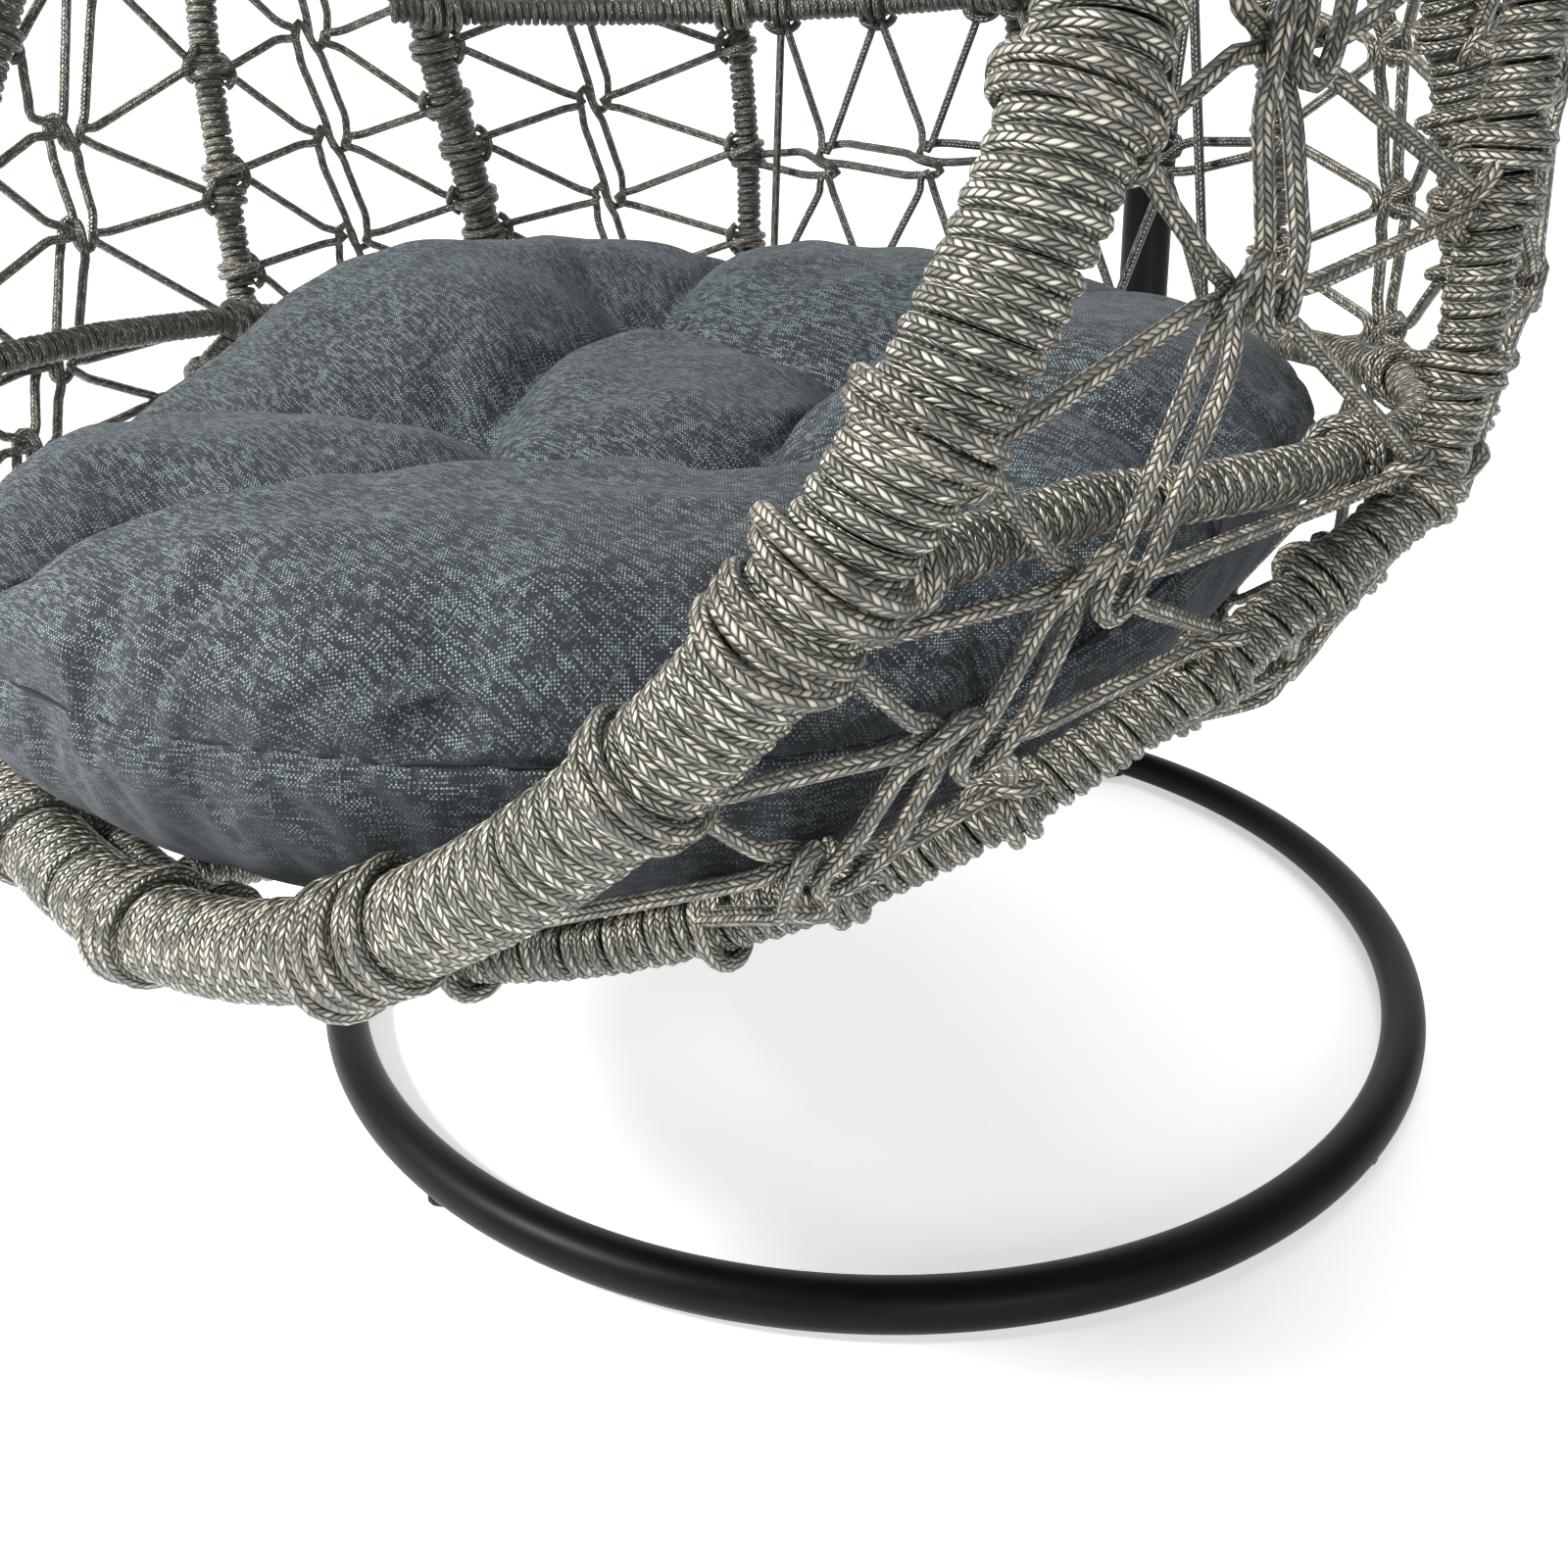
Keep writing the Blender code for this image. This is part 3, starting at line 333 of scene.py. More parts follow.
def painted_steel(name, rgb=(0.0028, 0.0029, 0.0032), rough=0.40):
    """Satin black powder coat with a very fine orange peel and dust."""
    m, nt, bsdf = new_material(name)
    g = Graph(nt)
    obj = g.node("ShaderNodeTexCoord").outputs["Object"]
    peel = g.noise(obj, 900.0, 2.0, 0.5)
    broad = g.noise(obj, 9.0, 4.0, 0.6)
    col = g.mix(g.remap(broad, 0.35, 0.75), rgb, tuple(min(1, c * 1.5 + 0.0012) for c in rgb))
    g.put(bsdf.inputs["Base Color"], col)
    g.put(bsdf.inputs["Roughness"], g.math("ADD", rough - 0.05, g.math("MULTIPLY", broad, 0.16)))
    bsdf.inputs["Specular IOR Level"].default_value = 0.12
    g.put(bsdf.inputs["Normal"], g.bump(peel, 0.00006, 0.5))
    return m


def zinc_steel(name, rgb=(0.300, 0.304, 0.310), rough=0.33):
    m, nt, bsdf = new_material(name)
    g = Graph(nt)
    obj = g.node("ShaderNodeTexCoord").outputs["Object"]
    cloud = g.noise(obj, 60.0, 4.0, 0.6)
    fine = g.noise(obj, 1400.0, 2.0, 0.5)
    g.put(bsdf.inputs["Base Color"], g.mix(g.remap(cloud, 0.3, 0.7), tuple(c * 0.78 for c in rgb), rgb))
    bsdf.inputs["Metallic"].default_value = 1.0
    g.put(bsdf.inputs["Roughness"], g.math("ADD", rough, g.math("MULTIPLY", cloud, 0.2)))
    g.put(bsdf.inputs["Normal"], g.bump(fine, 0.00003, 0.4))
    return m


def dull_plastic(name, rgb, rough):
    m, nt, bsdf = new_material(name)
    g = Graph(nt)
    obj = g.node("ShaderNodeTexCoord").outputs["Object"]
    fine = g.noise(obj, 700.0, 3.0, 0.6)
    g.put(bsdf.inputs["Base Color"], g.mix(g.noise(obj, 40.0, 3.0), rgb, tuple(c * 1.8 for c in rgb)))
    g.put(bsdf.inputs["Roughness"], g.math("ADD", rough, g.math("MULTIPLY", fine, 0.1)))
    bsdf.inputs["Specular IOR Level"].default_value = 0.16
    g.put(bsdf.inputs["Normal"], g.bump(fine, 0.0001, 0.5))
    return m


def cloth_material(name):
    """Plain weave of melange yarns: each warp and weft yarn changes between
    pale grey and blue black along its length, in short slubs."""
    m, nt, bsdf = new_material(name)
    g = Graph(nt)
    uvn = g.node("ShaderNodeUVMap", uv_map="cloth")
    obj = g.node("ShaderNodeTexCoord").outputs["Object"]
    u, v, _ = g.split(uvn.outputs[0])
    wave = g.math("MULTIPLY", g.math("SUBTRACT", g.noise(uvn.outputs[0], 18.0, 2.0), 0.5), 0.004)
    pitch = 0.00104
    a = g.math("DIVIDE", g.math("ADD", u, wave), pitch)
    b = g.math("DIVIDE", g.math("ADD", v, wave), pitch)
    ia, ib = g.math("FLOOR", a), g.math("FLOOR", b)
    fa, fb = g.math("SUBTRACT", a, ia), g.math("SUBTRACT", b, ib)
    over = g.math("MODULO", g.math("ABSOLUTE", g.math("ADD", ia, ib)), 2.0)
    crown = lambda f: g.math("SUBTRACT", 1.0, g.math("POWER", g.math("ABSOLUTE", g.math("SUBTRACT", g.math("MULTIPLY", f, 2.0), 1.0)), 2.0))
    ca, cb = crown(fa), crown(fb)
    # the yarn on top is crowned across itself and bowed along itself
    warp = g.math("MULTIPLY", g.math("POWER", ca, 0.5), g.math("ADD", 0.45, g.math("MULTIPLY", cb, 0.55)))
    weft = g.math("MULTIPLY", g.math("POWER", cb, 0.5), g.math("ADD", 0.45, g.math("MULTIPLY", ca, 0.55)))
    h = g.math("ADD", g.math("MULTIPLY", warp, over), g.math("MULTIPLY", weft, g.math("SUBTRACT", 1.0, over)))
    slub_a = g.noise(g.join(g.math("MULTIPLY", ia, 1.37), g.math("MULTIPLY", v, 95.0), 1.3), 1.0, 3.0, 0.65)
    slub_b = g.noise(g.join(g.math("MULTIPLY", u, 95.0), g.math("MULTIPLY", ib, 1.37), 8.9), 1.0, 3.0, 0.65)
    slub = g.math("ADD", g.math("MULTIPLY", g.math("ADD", g.math("MULTIPLY", slub_a, 0.45), 0.25), over), g.math("MULTIPLY", g.math("ADD", slub_b, 0.02), g.math("SUBTRACT", 1.0, over)))
    mottle = g.noise(uvn.outputs[0], 130.0, 4.0, 0.62)
    broad = g.noise(obj, 7.0, 3.0, 0.55)
    tone = g.math("ADD", slub, g.math("MULTIPLY", g.math("SUBTRACT", mottle, 0.5), 0.16))
    dark = g.mix(g.remap(broad, 0.35, 0.70), (0.0075, 0.0115, 0.0150), (0.0085, 0.0120, 0.0140))
    pale = g.mix(g.remap(broad, 0.35, 0.70), (0.225, 0.285, 0.302), (0.248, 0.300, 0.304))
    col = g.mix(g.remap(tone, 0.465, 0.635), dark, pale)
    # painted shade: the weave goes near black where each yarn dips beside its neighbour, standing in for the shade
    # between yarns
    col = g.mix(g.remap(h, 0.30, 0.90), (0.0045, 0.0065, 0.0085), col)
    # painted shade: the side that faces the ground is darkened towards blue black, standing in for the shade under the
    # cushion
    ground_shade_normal_z = g.split(g.node("ShaderNodeNewGeometry").outputs["Normal"])[2]
    col = g.mix(g.remap(ground_shade_normal_z, -0.50, 0.42), g.mix(0.80, col, (0.0080, 0.0110, 0.0135)), col)
    g.put(bsdf.inputs["Base Color"], col)
    g.put(bsdf.inputs["Roughness"], g.math("ADD", 0.72, g.math("MULTIPLY", slub, 0.2)))
    bsdf.inputs["Specular IOR Level"].default_value = 0.35
    bsdf.inputs["Sheen Weight"].default_value = 0.08
    bsdf.inputs["Sheen Roughness"].default_value = 0.5
    bsdf.inputs["Sheen Tint"].default_value = (0.75, 0.85, 1.0, 1.0)
    n0 = g.bump(g.noise(uvn.outputs[0], 55.0, 4.0, 0.6), 0.0012, 0.35)
    g.put(bsdf.inputs["Normal"], g.bump(g.math("ADD", h, g.math("MULTIPLY", slub, 0.5)), 0.00028, 0.9, n0))
    return m


ROPE = rope_material("rope_wrap_mat", (0.640, 0.615, 0.490), (0.104, 0.099, 0.071), (0.0034, 0.0030, 0.0021))
ROPE_THIN = rope_material("rope_thin_mat", (0.390, 0.368, 0.285), (0.066, 0.061, 0.043), (0.0032, 0.0028, 0.0020), columns=8.0, pitch=0.0032, relief=0.0009)
# painted shade: a darker copy of the thin rope for the back ribs and the upper ring, standing in for the shade on the
# far side of the basket
ROPE_SHADED_BACK = rope_material("rope_back_shaded_mat", (0.230, 0.214, 0.168), (0.038, 0.034, 0.025), (0.0026, 0.0022, 0.0017), columns=8.0, pitch=0.0032, relief=0.0009)
NET = rope_material("rope_net_mat", (0.450, 0.418, 0.325), (0.070, 0.063, 0.045), (0.0032, 0.0027, 0.0019), columns=8.0, pitch=0.0036, relief=0.0010)
# painted shade: a darker copy of the net rope for the back nets, standing in for the shade on the inner side of the
# back net
NET_SHADED_BACK = rope_material("rope_back_net_shaded_mat", (0.200, 0.184, 0.146), (0.032, 0.028, 0.020), (0.0024, 0.0020, 0.0015), columns=8.0, pitch=0.0036, relief=0.0010)
BLACK = painted_steel("black_coat_mat")
ZINC = zinc_steel("zinc_steel_mat")
RUBBER = dull_plastic("rubber_mat", (0.014, 0.014, 0.014), 0.75)
PLASTIC = dull_plastic("plastic_mat", (0.010, 0.010, 0.010), 0.42)
CLOTH = cloth_material("cushion_cloth_mat")
THREAD = dull_plastic("thread_mat", (0.010, 0.012, 0.016), 0.8)


# ------------------------------------------------------------ frame lines --
def rim_point(t):
    x = RIM_A * math.sin(t)
    if abs(t) < math.pi / 2:
        rise = RIM_B_LOW * (1 - math.cos(t))
    else:
        rise = RIM_B_LOW - RIM_B_UP * math.cos(t)
    y = RIM_BOTTOM[0] + RIM_LEAN * rise - 0.470 * max(rise - 0.55, 0) ** 2
    return np.array([x, y, RIM_BOTTOM[1] + rise])


def plan(ring, deg, out=0.0):
    a, b, y0, z = (SEAT_A, SEAT_B, SEAT_Y, SEAT_Z) if ring == "seat" else (UP_A, UP_B, UP_Y, UP_Z)
    u = math.radians(deg)
    x, y = a * math.sin(u), b * math.cos(u)
    n = unit([x / a**2, y / b**2, 0.0])
    return np.array([x, y0 + y, z]) + n * out


def hub_point(z, y0, r, deg):
    a = math.radians(deg)
    return np.array([r * math.sin(a), y0 + r * math.cos(a), z])


def mirrored(points):
    return [np.array([-p[0], p[1], p[2]]) for p in points]


V3 = lambda *a: np.array(a, float)
side_half = [
    V3(0.0, -0.394 + 0.0355, 0.3045), V3(0.10, -0.350, 0.3095), V3(0.20, -0.323, 0.325), V3(0.30, -0.281, 0.352),
    V3(0.39, -0.219, 0.395), V3(0.455, -0.142, 0.450), V3(0.498, -0.062, 0.505),
    plan("seat", 91.5, RIB_WRAP + SIDE_WRAP + 0.004),
    V3(0.528, -0.012, 0.66), V3(0.533, -0.010, 0.80), V3(0.500, -0.006, 0.955), V3(0.425, 0.000, 1.11),
    V3(0.310, 0.000, 1.26), V3(0.190, 0.000, 1.378), V3(CROWN_R + 0.040, 0.0, CROWN_Z - 0.012), V3(CROWN_R + 0.0016, 0.0, CROWN_Z),
]
big_half = [
    V3(BOTTOM_R + 0.0006, BOTTOM_Y, BOTTOM_Z), V3(0.16, 0.022, 0.270), V3(0.27, 0.058, 0.308), V3(0.37, 0.112, 0.375),
    V3(0.433, 0.176, 0.462), plan("seat", 61.0, RIB_WRAP + BIG_WRAP + 0.0045), V3(0.452, 0.196, 0.665),
    plan("up", 62.0, RIB_WRAP + BIG_WRAP + 0.002), V3(0.405, 0.118, 0.95), V3(0.345, 0.088, 1.10), V3(0.250, 0.066, 1.25),
    V3(0.155, 0.062, 1.385), hub_point(CROWN_Z - 0.010, 0, CROWN_R + 0.035, 60), hub_point(CROWN_Z, 0, CROWN_R + 0.0020, 60),
]


def rib_points(deg, crown_deg, bottom_deg):
    s = plan("seat", deg, RIB_WRAP * 2 + 0.002)
    u = plan("up", deg, RIB_WRAP * 2 + 0.002)
    side, back = math.sin(math.radians(deg)), math.cos(math.radians(deg))
    low = hub_point(BOTTOM_Z, BOTTOM_Y, BOTTOM_R + 0.0020, bottom_deg)
    low_out = hub_point(BOTTOM_Z + 0.001, BOTTOM_Y, BOTTOM_R + 0.040, bottom_deg)
    top = hub_point(CROWN_Z, 0, CROWN_R + 0.0016, crown_deg)
    top_out = hub_point(CROWN_Z - 0.012, 0, CROWN_R + 0.035, crown_deg)
    return [
        low, low_out, low + (s - low) * 0.33 + V3(0, 0, -0.062), low + (s - low) * 0.66 + V3(0, 0, -0.092),
        s + V3(-side * 0.016, -back * 0.018, -0.075), s, (s + u) / 2 + V3(side * 0.006, back * 0.012, 0), u,
        V3(u[0] * 0.93, u[1] * 0.93, 0.96), V3(u[0] * 0.76, u[1] * 0.775, 1.12), V3(u[0] * 0.54, u[1] * 0.56, 1.265),
        V3(u[0] * 0.33, u[1] * 0.34, 1.380), top_out, top,
    ]


class Member:
    """A frame member as a fine line with carried normals, in object space."""

    def __init__(self, points, wrap, closed_gap=False):
        self.path = np.asarray(points, float) + OFF
        self.wrap = wrap
        seg = np.linalg.norm(np.diff(self.path, axis=0), axis=1)
        self.s = np.concatenate([[0], np.cumsum(seg)])
        self.length = self.s[-1]
        self.tan, self.nor = carried(self.path)
        self.bi = np.cross(self.tan, self.nor)

    def at(self, s):
        s = np.clip(s, 0, self.length)
        get = lambda arr: np.stack([np.interp(s, self.s, arr[:, k]) for k in range(3)], -1)
        return get(self.path), unit(get(self.tan)), unit(get(self.nor)), unit(get(self.bi))

    def where(self, z, sign=0):
        """Arc length of the place at height z, on the side x*sign > 0."""
        best = None
        for i in range(len(self.path) - 1):
            a, b = self.path[i], self.path[i + 1]
            if (a[2] - z) * (b[2] - z) <= 0 and abs(b[2] - a[2]) > 1e-9 and (sign == 0 or a[0] * sign > 0):
                t = (z - a[2]) / (b[2] - a[2])
                best = self.s[i] + t * (self.s[i + 1] - self.s[i])
                break
        return best

    def nearest(self, p):
        d = np.linalg.norm(self.path - np.asarray(p), axis=1)
        return self.s[int(d.argmin())]

    def angle(self, s, direction):
        """Angle about the member of a direction in space."""
        _, t, n, b = self.at(s)
        return math.atan2(np.dot(direction, b), np.dot(direction, n))


def wavy(x, seed, scale=1.0):
    """Smooth repeatable noise in -1..1."""
    r = np.random.default_rng(seed)
    ph = r.uniform(0, math.tau, 5)
    fq = r.uniform(0.6, 2.6, 5)
    am = np.array([0.4, 0.25, 0.2, 0.1, 0.05])
    return sum(am[i] * np.sin(x * scale * fq[i] + ph[i]) for i in range(5))


def wind(bag, mem, s0, s1, pitch, rope_r, seg, sides, seed, depth=0.0, jitter=1.0, hand=1.0, flat=0.95):
    """Rope served round a member from s0 to s1, turn against turn."""
    turns = (s1 - s0) / pitch
    n = max(int(turns * seg), 8)
    k = np.arange(n + 1)
    turn = k / seg
    th = math.tau * turn * hand
    drift = wavy(turn, seed, 0.9) * pitch * 0.22 * jitter
    tilt = (0.9 + 0.5 * wavy(turn, seed + 7, 0.35)) * pitch * 0.12 * jitter
    s = s0 + turn * pitch * (s1 - s0) / (turns * pitch) + drift + tilt * np.sin(th + 0.7)
    s = np.clip(s, s0 * 0 + min(s0, s1), max(s0, s1))
    c, t, nn, bb = mem.at(s)
    r = mem.wrap - rope_r * flat - depth + 0.00035 * jitter * wavy(turn, seed + 3, 1.7)
    ca, sa = np.cos(th)[:, None], np.sin(th)[:, None]
    radial = nn * ca + bb * sa
    path = c + radial * np.asarray(r)[..., None] if np.ndim(r) else c + radial * r
    bag.sweep(path, radial, rope_r, sides, u0=RNG.uniform(0, 1), flat=flat)


def hitch(bag, mem, s, net_dir, cross, rope_r, sides=9, seg=26, d=None, lift=None, rad=None):
    """Clove hitch round a member: two turns with the rope crossing itself."""
    d = rope_r * 1.08 if d is None else d
    base = (mem.wrap if rad is None else rad) + rope_r * 0.45
    lift = rope_r * 0.85 if lift is None else lift
    a0 = mem.angle(s, net_dir)
    al = math.radians(cross)
    ph = np.linspace(0, 2 * math.tau, seg * 2 + 1)
    mid = math.tau + al
    w = math.radians(58)
    x = np.clip((ph - (mid - w)) / (2 * w), 0, 1)
    step = x * x * (3 - 2 * x)
    ax = -d + 2 * d * step
    near = np.clip(1 - np.minimum(ph, 2 * math.tau - ph) / math.radians(60), 0, 1)
    ax = ax + d * 0.55 * near * np.where(ph < math.tau, 1, -1)
    rise = lift * np.exp(-((ph - mid + 0.25 * w) / (w * 0.95)) ** 2)
    dip = -rope_r * 0.5 * near**2
    c, t, n, b = mem.at(s + ax)
    th = a0 + ph
    radial = n * np.cos(th)[:, None] + b * np.sin(th)[:, None]
    path = c + radial * (base + rise + dip)[:, None]
    bag.sweep(path, radial, rope_r, sides, u0=RNG.uniform(0, 1), flat=0.92)


def collar(bag, mem, s, net_dir, rope_r, sides=9, half=None, spread=22.0, rad=None, seg=14):
    """The short length of rope that bridges the two strands at a hitch."""
    half = rope_r * 3.1 if half is None else half
    a0 = mem.angle(s, net_dir)
    x = np.linspace(-1, 1, seg)
    th = a0 + np.radians(spread) * np.sin(x * math.pi * 0.5) * 0.8
    base = (mem.wrap if rad is None else rad)
    r = base + rope_r * (0.1 + 2.0 * (1 - x**2) ** 0.7)
    c, t, n, b = mem.at(s + x * half)
    radial = n * np.cos(th)[:, None] + b * np.sin(th)[:, None]
    bag.sweep(c + radial * r[:, None], radial, rope_r, sides, u0=RNG.uniform(0, 1))


fine = np.array([rim_point(-math.pi + 0.004 + (math.tau - 0.008) * i / 900) for i in range(901)])
RIM = Member(even(fine, 900), RIM_WRAP)
SIDE = Member(smooth_line(mirrored(side_half[::-1]) + side_half[1:], 900), SIDE_WRAP)
BIG = {"right": Member(smooth_line(big_half, 500), BIG_WRAP), "left": Member(smooth_line(mirrored(big_half), 500), BIG_WRAP)}
RIB = {
    "right": Member(smooth_line(rib_points(RIB_ANGLE, 30, 45), 460), RIB_WRAP),
    "middle": Member(smooth_line(rib_points(0, 0, 0), 460), RIB_WRAP),
    "left": Member(smooth_line(rib_points(-RIB_ANGLE, -30, -45), 460), RIB_WRAP),
}
KEEL = Member(
    smooth_line([V3(0, BOTTOM_Y - BOTTOM_R - 0.0006, BOTTOM_Z), V3(0, -0.13, 0.2655), V3(0, -0.24, 0.280), V3(0, -0.394 + 0.0355 + SIDE_WRAP + 0.0010, 0.302)], 120),
    RIB_WRAP,
)
meet = rim_point(1.075)
meet = meet + unit(plan("seat", 114) - meet) * (RIM_WRAP + 0.0035)
SEAT = Member(smooth_line(mirrored([meet]) + [plan("seat", d) for d in range(-114, 115, 4)] + [meet], 520), RIB_WRAP)
UPPER = Member(smooth_line([plan("up", d) for d in range(-66, 67, 4)], 300), RIB_WRAP)

def served(name, mem, parts, pitch, rope_r, seg, sides, seed, mat, replaces, hand=1.0, end=0.001):
    made = []
    for i in range(parts):
        bag = Bag()
        a = end + (mem.length - 2 * end) * i / parts
        b = end + (mem.length - 2 * end) * (i + 1) / parts
        wind(bag, mem, a, b, pitch, rope_r, seg, sides, seed + i, hand=hand)
        ob = bag.build(name if parts == 1 else "%s_%d" % (name, i + 1), mat)
        made.append(ob)
    for ob in made:
        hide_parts(replaces)
    return made


def core(name, mem, radius, end=0.0005):
    """Smooth steel core of a member."""
    n = max(int(mem.length / 0.006), 12)
    c, _, nn, _ = mem.at(np.linspace(end, mem.length - end, n))
    bag = Bag()
    bag.sweep(c, nn, radius, 12)
    ob = bag.build(name + "_core", BLACK)
    ob.data.set_sharp_from_angle(angle=math.radians(50))
    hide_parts(name + "_tube")


core("front_rim", RIM, 0.0140)
core("side_hoop", SIDE, 0.0065)
for tag in ("left", "right"):
    core("rear_hoop_" + tag, BIG[tag], 0.0095)
for tag in ("left", "middle", "right"):
    core("back_rib_" + tag, RIB[tag], 0.0060)
core("keel_bar", KEEL, 0.0060)
core("seat_ring", SEAT, 0.0060)
core("upper_ring", UPPER, 0.0060)

served("front_rim_rope", RIM, 2, 0.0084, 0.0045, 26, 9, 11, ROPE, "front_rim_wrap")
served("side_hoop_rope", SIDE, 2, 0.0068, 0.0036, 18, 8, 21, ROPE_THIN, "side_hoop_wrap")
for tag in ("left", "right"):
    served("rear_hoop_rope_" + tag, BIG[tag], 1, 0.0074, 0.0039, 16, 7, 31, ROPE_THIN, "rear_hoop_%s_wrap" % tag)
for tag in ("left", "middle", "right"):
    served("back_rib_rope_" + tag, RIB[tag], 1, 0.0066, 0.0035, 13, 6, 41, ROPE_SHADED_BACK, "back_rib_%s_wrap" % tag)
served("keel_bar_rope", KEEL, 1, 0.0066, 0.0035, 13, 6, 51, ROPE_THIN, "keel_bar_wrap")
served("seat_ring_rope", SEAT, 1, 0.0068, 0.0036, 18, 8, 61, ROPE_THIN, "seat_ring_wrap")
served("upper_ring_rope", UPPER, 1, 0.0068, 0.0036, 13, 6, 71, ROPE_SHADED_BACK, "upper_ring_wrap")

# ------------------------------------------------------------------- nets --
CENTRE = V3(0, 0.02, 0.75) + OFF


def strand(bag, points, rope_r, sides, step, ref):
    """Rope through control points, straight where they are far apart."""
    p = [np.asarray(q, float) for q in points]
    full = [p[0]]
    for a, b in zip(p, p[1:]):
        gap = np.linalg.norm(b - a)
        if gap > 0.035:
            k = 3
            for i in range(1, k):
                full.append(a + (b - a) * i / k)
        full.append(b)
    raw = smooth_line(full, 200, steps=10)
    length = np.linalg.norm(np.diff(raw, axis=0), axis=1).sum()
    path = even(raw, max(int(length / step), 6))
    _, nor = carried(path, ref=ref)
    bag.sweep(path, nor, rope_r, sides, u0=RNG.uniform(0, 1))
    return length


def link(bag, top, low, up, e, out, rope_r, sides, step):
    """Long closed loop between two knots, hooked through its neighbours: its
    lower bend lies in front, its upper one humps over and slips behind."""
    r = rope_r
    xl, xt, wl, wt = 1.25 * r, -1.2 * r, 2.15 * r, 2.75 * r
    up = unit(top - low)
    e = unit(e - up * (e @ up))
    face = np.cross(e, up)
    out = face if face @ out > 0 else -face
    L = lambda x, u_, o: low + e * (x + xl) + up * u_ + out * o
    T = lambda x, u_, o: top + e * (x + xt) + up * u_ + out * o
    pts = [T(-wt, -3.2 * r, 0.7 * r)]
    a, b = T(-wt, -6.0 * r, 0.45 * r), L(-wl - 0.35 * r, 5.0 * r, 0.7 * r)
    pts += [a, a + (b - a) * 0.35, a + (b - a) * 0.7, b]
    for x, u_, o in ((-1.0, 1.6, 1.05), (-0.93, -0.6, 1.1), (-0.62, -2.2, 1.15), (0.0, -2.9, 1.2), (0.62, -2.2, 1.15), (0.93, -0.6, 1.1), (1.0, 1.6, 1.05)):
        pts.append(L(x * wl, u_ * r, o * r))
    b, a = T(wt, -7.6 * r, -0.2 * r), L(wl + 0.35 * r, 5.0 * r, 0.7 * r)
    pts += [a, a + (b - a) * 0.35, a + (b - a) * 0.7, b]
    for x, u_, o in ((2.3, -5.0, -0.8), (1.4, -3.0, -1.2), (0.55, -1.0, -1.25), (0.05, 1.0, -0.8), (-0.55, 2.5, -0.1), (-1.5, 3.1, 0.55), (-2.45, 2.3, 1.0), (-2.85, 0.4, 1.15), (-2.85, -1.5, 1.0)):
        pts.append(T(x * r, u_ * r, o * r))
    raw = smooth_line(pts, 320, closed=True, steps=10)
    seg = np.linalg.norm(np.roll(raw, -1, 0) - raw, axis=1).sum()
    path = even(np.vstack([raw, raw[:1]]), max(int(seg / step), 24), closed=True)
    _, nor = carried(path, closed=True, ref=out)
    bag.sweep(path, nor, rope_r, sides, closed=True)


